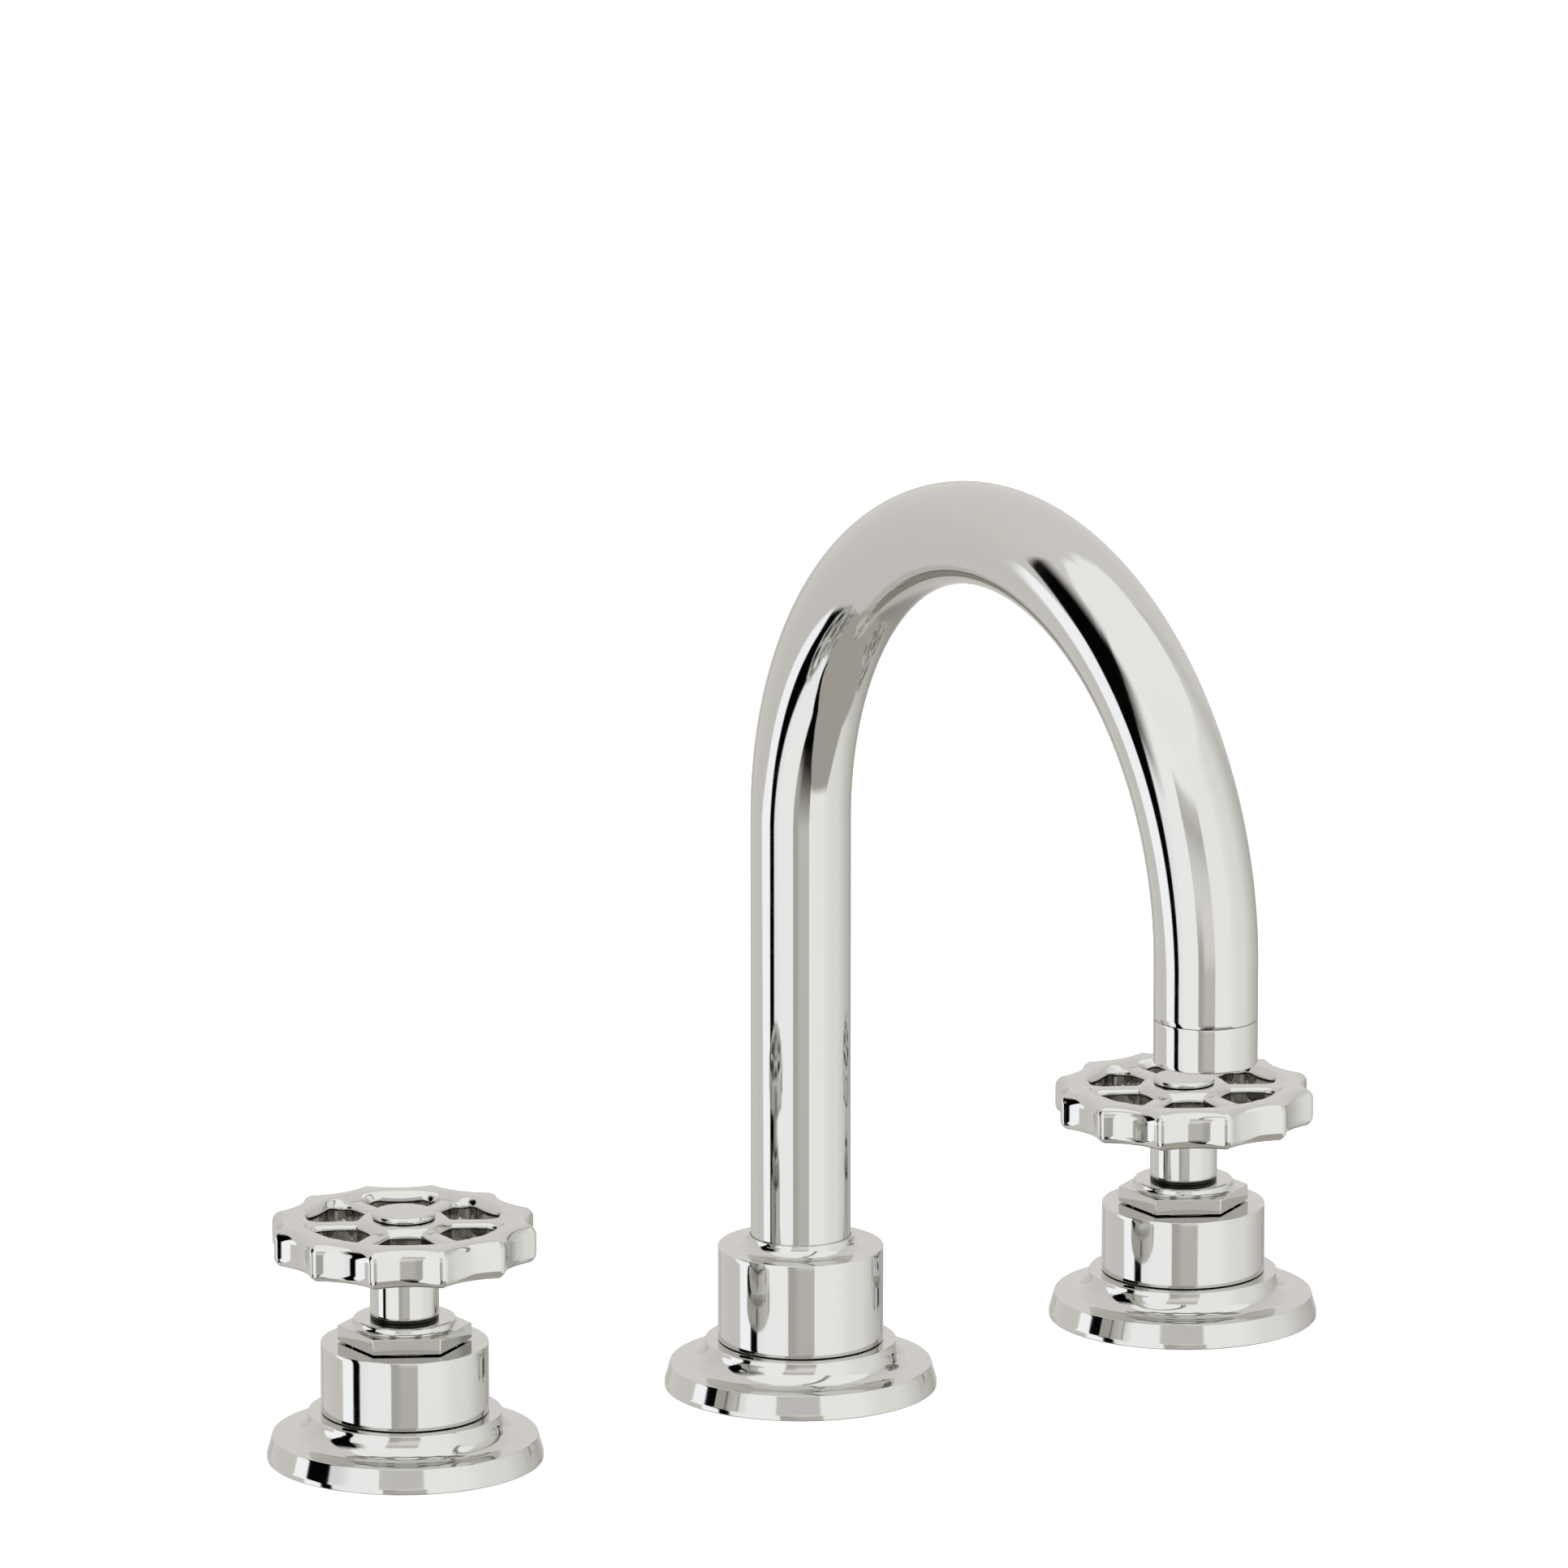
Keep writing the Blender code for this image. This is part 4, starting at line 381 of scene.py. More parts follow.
nutSizes = {"acrossFlats": 24.92, "cornerRound": 0.3, "foot": 21, "bottom": 25.95, "shoulder": 29.45, "top": 31.12,
            "edge": 0.2, "flat": 0.05, "skirt": 11.5, "relief": 10.7, "reliefFoot": 25.0, "reliefTop": 25.3,
            "coveFoot": 12.1, "coveLip": 0.03, "collar": 11.0, "collarRound": 0.45, "seat": 6.2, "seatEdge": 0.1,
            "seatFoot": 26.8, "bore": 4.3}


# The hexagon's outline: a flat's distance is half the width / cos(angle from the flat's middle), and near a
# corner it is that of the corner's own small circle. The corners are at 30 degrees and every 60 on.
def hexRadius(angles, v):
    flat, corner = v["acrossFlats"] / 2 * mm, v["cornerRound"] * mm
    off = np.abs((angles + math.pi / 6) % (math.pi / 3) - math.pi / 6)  # from the middle of the nearest flat
    fromCorner = math.pi / 6 - off
    centre = (flat - corner) / math.cos(math.pi / 6)
    limit = math.atan2(corner * 0.5, centre + corner * math.cos(math.pi / 6))
    inside = np.sqrt(np.maximum(corner ** 2 - (centre * np.sin(fromCorner)) ** 2, 0))
    return np.where(fromCorner < limit, centre * np.cos(fromCorner) + inside, flat / np.cos(off))


# Row i of the grid goes round at one height, either as a circle or as the hexagon moved in, so the rows together
# run from the bore out over the skirt, up the hexagon, in by the cove and the collar and down the bush's seat.
def bonnetNut(name, spot):
    v = nutSizes
    tight = np.radians(np.array([0, .25, .5, .75, 1.0, 1.35, 1.8, 3, 6, 9, 12, 15, 18, 21, 24, 27]))
    sixth = np.concatenate([tight, math.pi / 3 - tight[::-1][:-1]])  # between two corners, close together near them
    angles = (np.arange(6)[:, None] * math.pi / 3 + sixth[None, :-1]).ravel() + math.pi / 6
    hexagon = hexRadius(angles, v)
    cove, rim = np.linspace(0, math.pi / 2, 9), np.linspace(0, math.pi / 2, 6)
    bottom, shoulder, top = v["bottom"], v["shoulder"], v["top"]
    coveReach, edge, flat = v["coveFoot"] - v["collar"], v["edge"], v["flat"]
    collarTop = top - v["collarRound"]
    cut = edge * 0.3  # how far the middle of a rounded edge lies from both of its sides
    # (share of the hexagon, radius or inset, height)
    rows = [(0, v["bore"], v["foot"]), (0, v["skirt"] - edge, v["foot"]), (0, v["skirt"], v["foot"] + edge),
            (0, v["skirt"], v["reliefFoot"]), (0, v["relief"], v["reliefTop"]), (0, v["relief"], bottom),
            (1, -edge - flat, bottom), (1, -edge, bottom), (1, -cut, bottom + cut), (1, 0, bottom + edge),
            (1, 0, bottom + edge + flat), (1, 0, shoulder - edge - flat), (1, 0, shoulder - edge),
            (1, -cut, shoulder - cut), (1, -edge, shoulder), (1, -edge - v["coveLip"], shoulder)]
    rows += [(0, v["coveFoot"] - coveReach * math.sin(t), shoulder + coveReach * (1 - math.cos(t))) for t in cove]
    rows += [(0, v["collar"] - v["collarRound"] * (1 - math.cos(t)), collarTop + v["collarRound"] * math.sin(t))
             for t in rim]
    rows += [(0, v["collar"] - v["collarRound"] - flat, top), (0, v["seat"] + v["seatEdge"], top),
             (0, v["seat"], top - v["seatEdge"]), (0, v["seat"], v["seatFoot"]), (0, v["bore"], v["seatFoot"])]
    rows = np.array(rows)
    radius = np.where(rows[:, :1] > 0.5, hexagon[None] + rows[:, 1:2] * mm, rows[:, 1:2] * mm)
    grid = np.stack([spot[0] + radius * np.cos(angles), spot[1] + radius * np.sin(angles),
                     rows[:, 2:] * mm + 0 * angles], -1)
    addPiece(name + "_dressed", [(grid.reshape(-1, 3), gridFaces(len(rows), len(angles), True))], nickel,
             "root", name)


bushSizes = {"bore": 4.3, "stem": 5.9, "stemFoot": 27.55, "ring": 7.35, "ringFoot": 31.17, "ringTop": 31.82,
             "edge": 0.15}


def glideBush(name, spot):  # a stem with a ring on top, turned
    v = bushSizes
    path = roundedPath([
        (v["bore"], v["stemFoot"], 0), (v["stem"], v["stemFoot"], 0), (v["stem"], v["ringFoot"], 0),
        (v["ring"], v["ringFoot"], v["edge"]), (v["ring"], v["ringTop"], v["edge"]), (v["bore"], v["ringTop"], 0)])
    addPiece(name + "_dressed", [turned(path, spot, around)], darkPlastic, "root", name)


spoutHub("spout_hub", spoutSpot)
for side, spot in valveSpots.items():
    valveHub(side + "_hub", spot)
    bonnetNut(side + "_bonnet_nut", spot)
    glideBush(side + "_glide_bush", spot)
print("hubs and nuts made")


wheelSizes = {"radius": 28.9, "top": 52.95, "bottom": 44.35, "lobes": 12, "scallopDepth": 2.4, "lobeNose": 1.95,
              "rimEdge": 2.3, "windowOuter": 20.7, "windowInner": 10.0, "windowHeart": 15.5, "spokeWidth": 4.3,
              "outerCorner": 3.2, "innerCorner": 1.0, "rimSideEdge": 1.55, "hubSideEdge": 1.15, "edgeStart": 12,
              "underEdge": 1.1, "spokeDip": 1.0, "dipStart": 8.4, "dipEnd": 22.2, "dipBlend": 1.9, "dipFoot": 48.6,
              "dipRise": 2.8, "sleeve": 7.45, "sleeveCove": 0.4, "sleeveEnd": 31.9, "sleeveEdge": 0.2, "bore": 4.3,
              "web": 46.45, "seat": 48.05, "counterbore": 5.3, "screwHole": 2.3}
paintedShadeSizes = {"margin": 1.5, "under": 0.5, "above": 0.2, "blend": 0.8}  # where painted shade darkens a window's wall


# One pitch of the rim, moved in by the inset, from the middle of one scallop to the middle of the next: an arc
# of the scallop's circle and an arc round the lobe's nose, then the same mirrored. The scallop's radius is the
# one that makes its circle touch the nose's circle. Where the inset is more than the nose's radius, the two
# scallops' circles meet on the lobe's middle line, centre less the root of (radius squared - height squared).
def rimPitch(v, inset):
    half = math.pi / v["lobes"]
    low, nose = v["radius"] - v["scallopDepth"], v["lobeNose"]
    lobe = np.array([v["radius"] - nose, 0.0])
    aim = np.array([math.cos(half), -math.sin(half)])
    on = aim @ lobe
    scallop = (2 * low * on - low ** 2 - lobe @ lobe + nose ** 2) / (2 * (low - on - nose))
    centre = aim * (low + scallop)
    reach, rest = scallop + inset, max(nose - inset, 0.0)
    if not rest:
        lobe = np.array([centre[0] - math.sqrt(reach ** 2 - centre[1] ** 2), 0.0])
    first, last = math.atan2(-aim[1], -aim[0]), math.atan2(lobe[1] - centre[1], lobe[0] - centre[0])
    dip, bend = np.linspace(first, last, 15), np.linspace(last - math.pi, 0, 13)
    points = np.concatenate([centre + reach * np.stack([np.cos(dip), np.sin(dip)], 1),
                             lobe + rest * np.stack([np.cos(bend), np.sin(bend)], 1)[1:]])
    points = np.concatenate([points, points[-2::-1] * (1, -1)])
    return spin(points, half) * mm


# The window's outline is a four-sided shape with rounded corners, its sides parallel to the spokes, taken at
# even steps of its length; its outward direction is the step from the point before to the point after, turned
# a quarter. A side's half width at radius x is (x sin 30 - half a spoke) / cos 30.
def windowOutline(v):
    inner, outer = v["windowInner"], v["windowOuter"]
    slope = 0.866  # cos 30
    low, high = (inner / 2 - v["spokeWidth"] / 2) / slope, (outer / 2 - v["spokeWidth"] / 2) / slope
    line = roundedPath([(inner, -low, v["innerCorner"]), (outer, -high, v["outerCorner"]),
                        (outer, high, v["outerCorner"]), (inner, low, v["innerCorner"])], 60)
    line = np.concatenate([line, line[:1]])
    run = np.concatenate([[0], np.cumsum(np.linalg.norm(np.diff(line, axis=0), axis=1))])
    even = np.linspace(0, run[-1], 2400, endpoint=False)
    points = np.stack([np.interp(even, run, line[:, 0]), np.interp(even, run, line[:, 1])], 1)
    step = np.roll(points, -3, 0) - np.roll(points, 3, 0)
    outward = np.stack([step[:, 1], -step[:, 0]], 1)
    return points, outward / np.linalg.norm(outward, axis=1, keepdims=True)


def smooth(value, start, width):  # 0 before the start, 1 after start + width, and 3s^2 - 2s^3 between
    s = np.clip((value - start) / width, 0, 1)
    return s * s * (3 - 2 * s)


# Six sectors, each with one window. The spokes' upper side lies lower than the hub and the rim: every point
# above the middle comes down by dip x (share of the way past the hub's blend) x (share before the rim's blend).
def handwheel(name, spot, body):
    v, shadeZone = wheelSizes, paintedShadeSizes
    spot = np.array(spot)
    third = math.pi / 6
    top, bottom, underEdge, rimEdge = (v[key] * mm for key in ("top", "bottom", "underEdge", "rimEdge"))
    bend = np.linspace(0, math.pi / 2, 9)

    def rimLoop(inset):
        pitch = rimPitch(v, inset)
        return np.concatenate([spin(pitch, -third)[:-1], pitch])

    inset = rimLoop(v["rimEdge"])
    share = np.linspace(0, 1, 62)[1:-1, None]

    def sectorLoop(circle):  # the rim's inset line, the spoke's middle line in, the centre circle, and back out
        swing = np.linspace(third, -third, 15)
        arc = np.stack([np.cos(swing), np.sin(swing)], 1) * circle * mm
        inwards = inset[-1] * (1 - share) + arc[0] * share
        outwards = arc[-1] * (1 - share) + inset[0] * share
        return np.concatenate([inset, inwards, arc, outwards])

    topLoop, underCircle = sectorLoop(v["counterbore"]), v["sleeve"] + v["sleeveCove"]
    underLoop = sectorLoop(underCircle)
    heart = np.array([v["windowHeart"] * mm, 0])
    window, windowOut = windowOutline(v)

    def edgeWidth(points):  # the window's rounded edge is wider beside the rim than beside the hub
        go = smooth(points[:, :1], v["edgeStart"] * mm, (v["windowOuter"] - v["edgeStart"]) * mm)
        return (v["hubSideEdge"] + (v["rimSideEdge"] - v["hubSideEdge"]) * go) * mm

    edge = window + windowOut * edgeWidth(window) - heart
    wanted = np.arctan2(topLoop[:, 1], topLoop[:, 0] - heart[0])
    known = np.arctan2(edge[:, 1], edge[:, 0])
    pick = [np.interp(wanted, known, column, period=math.tau)
            for column in (window[:, 0], window[:, 1], windowOut[:, 0], windowOut[:, 1])]
    hole, holeOut = np.stack(pick[:2], 1), np.stack(pick[2:], 1)
    holeOut /= np.linalg.norm(holeOut, axis=1, keepdims=True)
    upperEdge = edgeWidth(hole)

    def windowWall(hole, holeOut):  # down the rounded upper edge, the wall and the rounded lower edge
        s, c = np.sin(bend)[:, None, None], np.cos(bend)[:, None, None]
        upper = np.concatenate([hole + holeOut * upperEdge * (1 - s) + spot, top - upperEdge * (1 - c)], -1)
        lower = np.concatenate([hole + holeOut * underEdge * (1 - s) + spot,
                                bottom + underEdge * (1 - c) + 0 * hole[:, :1]], -1)
        near = 0.06  # a ring near each end of the straight wall keeps it flat
        grid = np.concatenate([upper, upper[-1:] * (1 - near) + lower[-1:] * near,
                               upper[-1:] * near + lower[-1:] * (1 - near), lower[::-1]])
        return grid.reshape(-1, 3), gridFaces(len(grid), len(hole))

    # down the rim's side, as (inset, height): a rounded edge, two rings that keep the straight flat, and an edge
    close = 0.2 * mm
    rimPath = [(v["rimEdge"] * (1 - math.sin(t)), top - rimEdge * (1 - math.cos(t))) for t in bend]
    rimPath += [(0, top - rimEdge - close), (0, bottom + rimEdge + close)]
    rimPath += [(v["rimEdge"] * (1 - math.sin(t)), bottom + rimEdge * (1 - math.cos(t))) for t in bend[::-1]]
    rim = [(rimLoop(step), height) for step, height in rimPath]
    shares = (0, 0.04, 0.35, 0.65, 0.96, 1)  # of the way across the flat faces, close together at both edges
    grids = []
    for number in range(6):  # one sector for each window
        at = number * math.pi / 3
        line, outward, topAt, underAt = (spin(part, at) for part in (hole, holeOut, topLoop, underLoop))
        grids.append(flatBetween(line + outward * upperEdge, topAt, top, shares, spot))
        grids.append(flatBetween(line + outward * underEdge, underAt, bottom, shares, spot))
        grids.append(windowWall(line, outward))
        wall = np.stack([np.concatenate([spin(loop, at) + spot, np.full((len(loop), 1), height)], 1)
                         for loop, height in rim])
        grids.append((wall.reshape(-1, 3), gridFaces(len(wall), wall.shape[1], False, False)))
    for points, faces in grids:  # the dip of the spokes
        radius = np.hypot(points[:, 0] - spot[0], points[:, 1] - spot[1]) / mm
        between = smooth(radius, v["dipStart"], v["dipBlend"]) * smooth(-radius, -v["dipEnd"], v["dipBlend"])
        upper = np.clip((points[:, 2] / mm - v["dipFoot"]) / v["dipRise"], 0, 1)
        points[:, 2] -= v["spokeDip"] * mm * between * upper
    angles = (np.arange(6)[:, None] * math.pi / 3 + np.linspace(-third, third, 15)[None, :-1]).ravel()
    sleeve = roundedPath([
        (underCircle + 1, v["bottom"], 0), (v["sleeve"], v["bottom"], v["sleeveCove"]),
        (v["sleeve"], v["sleeveEnd"], v["sleeveEdge"]), (v["bore"], v["sleeveEnd"], 0), (v["bore"], v["web"], 0),
        (v["screwHole"], v["web"], 0), (v["screwHole"], v["seat"], 0), (v["counterbore"], v["seat"], 0),
        (v["counterbore"], v["top"], 0)], 7, False)[2:]
    sleeve[0] = np.array([underCircle, v["bottom"]]) * mm
    grids.append(turned(sleeve, spot, angles, False))
    wheel = addPiece(name + "_dressed", grids, nickel, body, name)
    # Painted shade: points of the windows' walls, in the band round the windows and below the spokes' dip, get a
    # recess weight that darkens the metal's colour.
    places = np.empty(len(wheel.data.vertices) * 3)
    wheel.data.vertices.foreach_get("co", places)
    places = places.reshape(-1, 3)
    radius, height = np.hypot(places[:, 0] - spot[0], places[:, 1] - spot[1]) / mm, places[:, 2] / mm
    within = (radius > v["windowInner"] - shadeZone["margin"]) & (radius < v["windowOuter"] + shadeZone["margin"])
    shadeWeight = (smooth(-height, v["spokeDip"] + shadeZone["under"] - v["top"], shadeZone["blend"])
            * smooth(height, v["bottom"] + shadeZone["above"], shadeZone["blend"]) * within)
    wheel.data.attributes.new("recess", "FLOAT", "POINT").data.foreach_set("value", shadeWeight)


capSizes = {"radius": 6.78, "foot": 53.15, "footEdge": 0.12, "top": 54.4, "round": 0.9, "plug": 5.0,
            "plugEnd": 51.65, "hollow": 3.8}


# A rounded button, a plug under it and a hollow in the plug, turned about the upright axis.
def wheelCap(name, spot, body):
    v = capSizes
    path = roundedPath([
        (0, v["top"], 0), (v["radius"], v["top"], v["round"]), (v["radius"], v["foot"], v["footEdge"]),
        (v["plug"], v["foot"], 0), (v["plug"], v["plugEnd"], 0), (v["hollow"], v["plugEnd"], 0),
        (v["hollow"], v["foot"], 0), (0, v["foot"], 0)], 8, False)
    addPiece(name + "_dressed", [turned(path, spot, around, False)], nickel, body, name)


for side, spot in valveSpots.items():
    handwheel(side + "_handwheel", spot, side + "_handle")
    wheelCap(side + "_cap", spot, side + "_handle")
print("handwheels made")


spoutSizes = {"radius": 10.93, "bore": 9.43, "foot": 29.3, "archHeight": 127.1, "archRadius": 76.05, "end": 115.7,
              "endRound": 0.08}


# The spout's middle line goes straight up, half round an arch towards the user and straight down. Ring i
# stands square to that line: its points are the middle point + radius (cos angle x sideways + sin angle x
# outwards), so the tube keeps its width all the way.
def spoutTube(name):
    v = {key: value * mm for key, value in spoutSizes.items()}
    angles = np.arange(144) * math.tau / 144
    rise = v["foot"] + (v["archHeight"] - v["foot"]) * np.linspace(0, 1, 60)[:-1]
    bend = np.linspace(0, math.pi, 221)
    drop = v["archHeight"] + (v["end"] - v["archHeight"]) * np.linspace(0, 1, 12)[1:]
    y = np.concatenate([0 * rise, -v["archRadius"] * (1 - np.cos(bend)), 0 * drop - 2 * v["archRadius"]])
    z = np.concatenate([rise, v["archHeight"] + v["archRadius"] * np.sin(bend), drop])
    lean = np.concatenate([0 * rise, bend, 0 * drop + math.pi])
    edge = v["endRound"]

    def wall(radius, y, z, lean):
        across = radius * np.sin(angles)
        return np.stack([radius * np.cos(angles) + 0 * y[:, None],
                         y[:, None] + across * np.cos(lean)[:, None],
                         z[:, None] + across * np.sin(lean)[:, None]], -1)

    def roundedEnd(at):  # rings that grow to the full radius while they rise by the edge's circle
        grow = np.array([0, 0.3, 0.7]) * edge
        rings = np.stack([wall(v["radius"] - edge + step, y[at], z[at], lean[at])[0] for step in grow])
        rings[:, :, 2] += (edge - np.sqrt(np.maximum(edge ** 2 - grow ** 2, 0)))[:, None]
        return rings

    outer, inner = wall(v["radius"], y, z, lean), wall(v["bore"], y, z, lean)
    outer[0, :, 2] += edge
    outer[-1, :, 2] += edge
    loop = np.concatenate([roundedEnd(slice(0, 1)), outer, roundedEnd(slice(-1, None))[::-1], inner[::-1]])
    addPiece(name + "_dressed", [(loop.reshape(-1, 3), gridFaces(len(loop), len(angles), True))], nickel,
             "spout", name)


outletSizes = {"radius": 10.93, "foot": 106.1, "footRound": 0.45, "top": 115.6, "topEdge": 0.08, "mouth": 7.6,
               "mouthEdge": 0.2, "mouthTop": 107.3, "bore": 8.3, "plug": 9.13, "plugTop": 120.3}


# The outlet's ring with its plug that goes up into the tube, turned about the upright axis.
def aeratorHousing(name, spot):
    v = outletSizes
    path = roundedPath([
        (v["mouth"], v["foot"], v["mouthEdge"]), (v["radius"], v["foot"], v["footRound"]),
        (v["radius"], v["top"], v["topEdge"]), (v["plug"], v["top"], 0), (v["plug"], v["plugTop"], 0),
        (v["bore"], v["plugTop"], 0), (v["bore"], v["mouthTop"], 0), (v["mouth"], v["mouthTop"], 0)])
    addPiece(name + "_dressed", [turned(path, spot, around)], nickel, "spout", name)


spoutTube("spout_tube")
aeratorHousing("aerator_housing", outletSpot)
print("spout made")


cameraSizes = {"spot": (-1.70114, -2.56389, 0.88822), "turn": 33.497, "dip": 13.7655, "lens": 337.06, "sensor": 36,
               "farthest": 100}
lens = bpy.data.cameras.new("photoCamera")
lens.lens = cameraSizes["lens"]
lens.sensor_width = cameraSizes["sensor"]
lens.clip_end = cameraSizes["farthest"]
camera = bpy.data.objects.new("photoCamera", lens)
camera.location = cameraSizes["spot"]
camera.rotation_euler = (math.radians(90 - cameraSizes["dip"]), 0, math.radians(-cameraSizes["turn"]))
bpy.context.scene.collection.objects.link(camera)
bpy.context.scene.camera = camera

floorValues = {"half": 30.0, "height": -0.0001, "colour": (0.9, 0.9, 0.9, 1), "roughness": 0.9}
floorMesh = bpy.data.meshes.new("paleFloor")
floorMesh.from_pydata([(x * floorValues["half"], y * floorValues["half"], floorValues["height"])
                       for x, y in ((-1, -1), (1, -1), (1, 1), (-1, 1))], [], [(0, 1, 2, 3)])
floorMaterial = bpy.data.materials.new("paleFloor")
floorMaterial.use_nodes = True
floorShader = floorMaterial.node_tree.nodes["Principled BSDF"]
floorShader.inputs["Base Color"].default_value = floorValues["colour"]
floorShader.inputs["Roughness"].default_value = floorValues["roughness"]
floorShader.inputs["Specular IOR Level"].default_value = 0.0
floorMesh.materials.append(floorMaterial)
floor = bpy.data.objects.new("paleFloor", floorMesh)
floor.visible_glossy = False
bpy.context.scene.collection.objects.link(floor)
print("camera and floor ready")


def linear(red, green, blue):  # the light that the nickel mirrors as this screen colour
    share = np.array([red, green, blue]) / 255
    metal = (0.6, 0.595, 0.575)
    return tuple(np.where(share <= 0.04045, share / 12.92, ((share + 0.055) / 1.055) ** 2.4) / metal)


# What the metal mirrors: a wall whose tone changes with height, and soft-edged panels laid over it in turn.
# Angles are in degrees; round is measured from the direction of the camera to its right, and up from the
# horizon. Each edge is a curve of the other angle. A tone is one colour, or a list that goes up or round.
studioValues = {"turn": 33.125, "strength": 2.2}
studioWall = {"rise": [(-30, linear(189, 186, 181)), (8, linear(192, 189, 184)), (24, linear(196, 193, 188)),
                       (60, linear(198, 195, 190))]}
studioPanels = [
    # low at the back
    {"light": linear(173, 170, 164), "soft": 6,
     "top": [(-180, 4), (-150, -4), (-128, -60), (-100, -85), (100, -85), (125, -60), (145, -4), (180, 4)]},
    # the wide bright side, from the left of the camera round to the right
    {"around": [(-65, linear(222, 223, 220)), (-48, linear(230, 231, 229)), (-20, linear(230, 231, 228)),
                (18, linear(226, 227, 222)), (52, linear(225, 226, 221)), (62, linear(220, 220, 215)),
                (72, linear(215, 215, 210)), (95, linear(211, 211, 206)), (120, linear(188, 186, 180)),
                (140, linear(170, 167, 161)), (160, linear(138, 134, 128)), (172, linear(132, 129, 123))],
     "left": [(0, -72)], "right": [(-30, 176), (-5, 150), (20, 125)], "rightSoft": 8},
    # overhead
    {"light": linear(227, 228, 223), "soft": 3,
     "bottom": [(-180, 72), (-120, 72), (-92, 56), (-80, 46), (-60, 40), (100, 40), (125, 60), (180, 72)]},
    # low all round, higher on the right
    {"light": linear(155, 151, 142), "soft": 2,
     "top": [(-180, -75), (-100, -72), (-90, -62), (-40, -62), (-20, -60), (5, -50), (16, -34), (22, -27), (60, -27),
             (75, -36), (90, -43), (115, -43), (140, -60), (180, -75)]},
    # the strip in front, black at its foot
    {"rise": [(-41, linear(3, 3, 3)), (-35, linear(40, 38, 36)), (-30, linear(88, 84, 80)),
              (-25, linear(127, 124, 118)), (-20, linear(154, 151, 145)), (-15, linear(179, 176, 170)),
              (-10, linear(202, 199, 194)), (0, linear(208, 205, 200)), (10, linear(199, 197, 192)),
              (20, linear(172, 169, 163)), (28, linear(193, 190, 184))],
     "left": [(-66, -45), (-60, -38), (-56, -25), (-50, -12), (-30, -14.5), (-20, -17), (10, -20), (20, -22.5)],
     "right": [(-63, -37), (-60, -20), (-55, 0), (-45, 10), (-38, 14), (-30, 20), (-18, 19), (20, 16)],
     "top": [(0, 29)], "bottom": [(0, -64)], "soft": 1.2, "topSoft": 3},
    # a dimmer part of that strip
    {"light": linear(161, 158, 152), "left": [(-30, -14), (-20, -17), (10, -20), (20, -22)], "right": [(0, -6)],
     "top": [(0, -4)], "bottom": [(0, -33)], "soft": 1.2, "topSoft": 9, "bottomSoft": 7, "rightSoft": 5},
    # a dark patch beside the black flag
    {"light": linear(90, 86, 80), "left": [(0, -70)], "right": [(0, -54)], "top": [(0, 37)], "bottom": [(0, 13)],
     "rightSoft": 11, "topSoft": 5, "bottomSoft": 5},
    # the black flag on the left
    {"light": linear(3, 3, 3), "left": [(7, -90), (13, -94), (20, -98), (40, -97)],
     "right": [(-45, -57), (-35, -57.5), (-25, -60), (-15, -63.5), (-5, -65.5), (8, -66), (15, -65), (22, -63),
               (30, -62), (36, -64)],
     "top": [(0, 40.5)], "bottom": [(-90, -59), (-57.5, -46)], "soft": 1.5, "topSoft": 9},
    # the bright strip behind the flag
    {"light": linear(238, 239, 240), "left": [(-40, -92), (-16, -92), (-12, -109), (12, -100)],
     "right": [(-45, -90), (-40, -84.5), (-35, -79.5), (-30, -76), (-24, -73.5), (-17, -74), (-10, -77),
               (-5, -79.5), (0, -83.5), (5, -87.5), (10, -91)],
     "top": [(0, 8.5)], "bottom": [(0, -39)], "soft": 1.5},
]


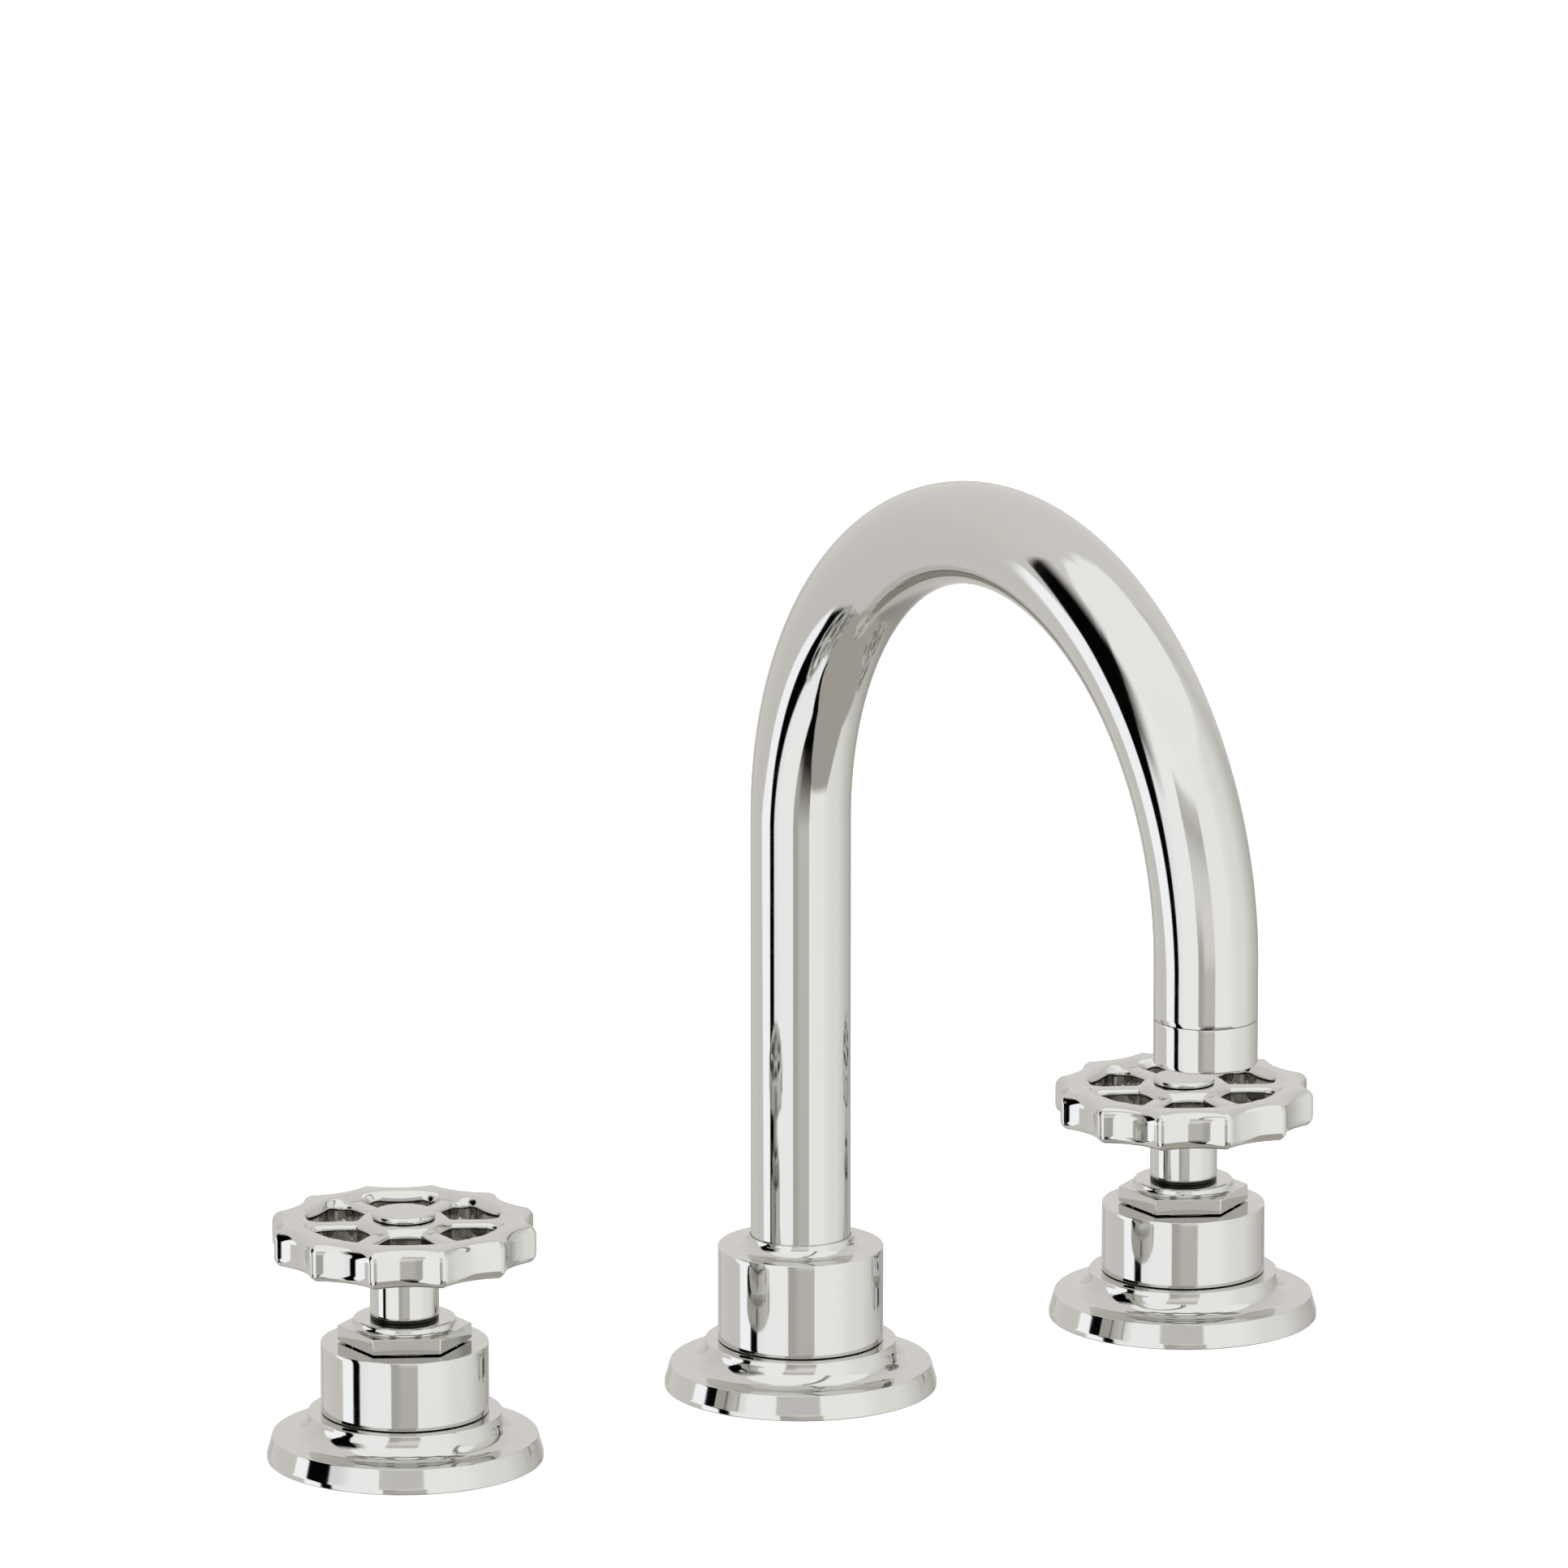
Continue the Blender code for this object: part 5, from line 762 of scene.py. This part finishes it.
# A panel's share at a direction is the product of its soft edges, each a smooth step between the edge less
# and plus its softness.
def studioWorld():
    world = bpy.data.worlds.new("softStudio")
    world.use_nodes = True
    tree = world.node_tree
    tree.nodes.clear()
    add, join, sums = tree.nodes.new, tree.links.new, partial(mathNode, tree)
    turn = math.radians(studioValues["turn"])
    place = add("ShaderNodeTexCoord").outputs["Generated"]

    def dot(direction):
        node = add("ShaderNodeVectorMath")
        node.operation = "DOT_PRODUCT"
        node.inputs[1].default_value = direction
        join(place, node.inputs[0])
        return node.outputs["Value"]

    toRight = dot((math.cos(turn), -math.sin(turn), 0))
    toCamera = dot((-math.sin(turn), -math.cos(turn), 0))
    angleRound = sums("MULTIPLY", sums("ARCTAN2", toRight, toCamera), 180 / math.pi)
    angleUp = sums("MULTIPLY", sums("ARCSINE", dot((0, 0, 1))), 180 / math.pi)

    def asShare(angle):  # -180 to 180 degrees become 0 to 1
        return (angle + 180) / 360

    def asShareNode(angle):
        return sums("DIVIDE", sums("ADD", angle, 180), 360)

    def curve(source, points):
        if len(points) == 1:
            return points[0][1]
        node = add("ShaderNodeFloatCurve")
        line = node.mapping.curves[0]
        spots = [(asShare(a), asShare(b)) for a, b in points]
        line.points[0].location, line.points[1].location = spots[0], spots[-1]
        for spot in spots[1:-1]:
            line.points.new(*spot)
        for point in line.points:
            point.handle_type = "VECTOR"
        node.mapping.extend = "HORIZONTAL"
        node.mapping.update()
        join(asShareNode(source), node.inputs["Value"])
        return sums("SUBTRACT", sums("MULTIPLY", node.outputs["Value"], 360), 180)

    def step(value, edge, soft, rising):
        node = add("ShaderNodeMapRange")
        node.interpolation_type = "SMOOTHSTEP"
        join(value, node.inputs["Value"])
        for key, shift in (("From Min", -soft), ("From Max", soft)):
            mark = edge + shift if isinstance(edge, (int, float)) else sums("ADD", edge, shift)
            feed(tree, node.inputs[key], mark)
        node.inputs["To Min"].default_value = 0.0 if rising else 1.0
        node.inputs["To Max"].default_value = 1.0 if rising else 0.0
        return node.outputs["Result"]

    def tone(panel):
        stops = panel.get("rise") or panel.get("around") or [(0, panel.get("light"))]
        node = add("ShaderNodeValToRGB")
        marks = node.color_ramp.elements
        while len(marks) > len(stops):
            marks.remove(marks[0])
        while len(marks) < len(stops):
            marks.new(0.5)
        for mark, (angle, shade) in zip(marks, stops):
            mark.position = asShare(angle)
            mark.color = (*shade, 1)
        join(asShareNode(angleRound if "around" in panel else angleUp), node.inputs["Fac"])
        return node.outputs["Color"]

    sides = {"left": (angleRound, angleUp, True), "right": (angleRound, angleUp, False),
             "top": (angleUp, angleRound, False), "bottom": (angleUp, angleRound, True)}
    colour = tone(studioWall)
    for panel in studioPanels:
        share = None
        for key, (value, other, rising) in sides.items():
            if key in panel:
                soft = panel.get(key + "Soft", panel.get("soft", 1.5))
                part = step(value, curve(other, panel[key]), soft, rising)
                share = part if share is None else sums("MULTIPLY", share, part)
        colour = colourMix(tree, share, colour, tone(panel))
    mirrored, plain = add("ShaderNodeBackground"), add("ShaderNodeBackground")
    join(colour, mirrored.inputs["Color"])
    plain.inputs["Color"].default_value = (1, 1, 1, 1)
    plain.inputs["Strength"].default_value = studioValues["strength"]
    ray, pick, out = add("ShaderNodeLightPath"), add("ShaderNodeMixShader"), add("ShaderNodeOutputWorld")
    join(sums("MAXIMUM", ray.outputs["Is Camera Ray"], ray.outputs["Is Diffuse Ray"]), pick.inputs["Fac"])
    join(mirrored.outputs["Background"], pick.inputs[1])
    join(plain.outputs["Background"], pick.inputs[2])
    join(pick.outputs["Shader"], out.inputs["Surface"])
    bpy.context.scene.world = world


studioWorld()
bpy.context.scene.view_settings.view_transform = "Standard"
print("studio ready")
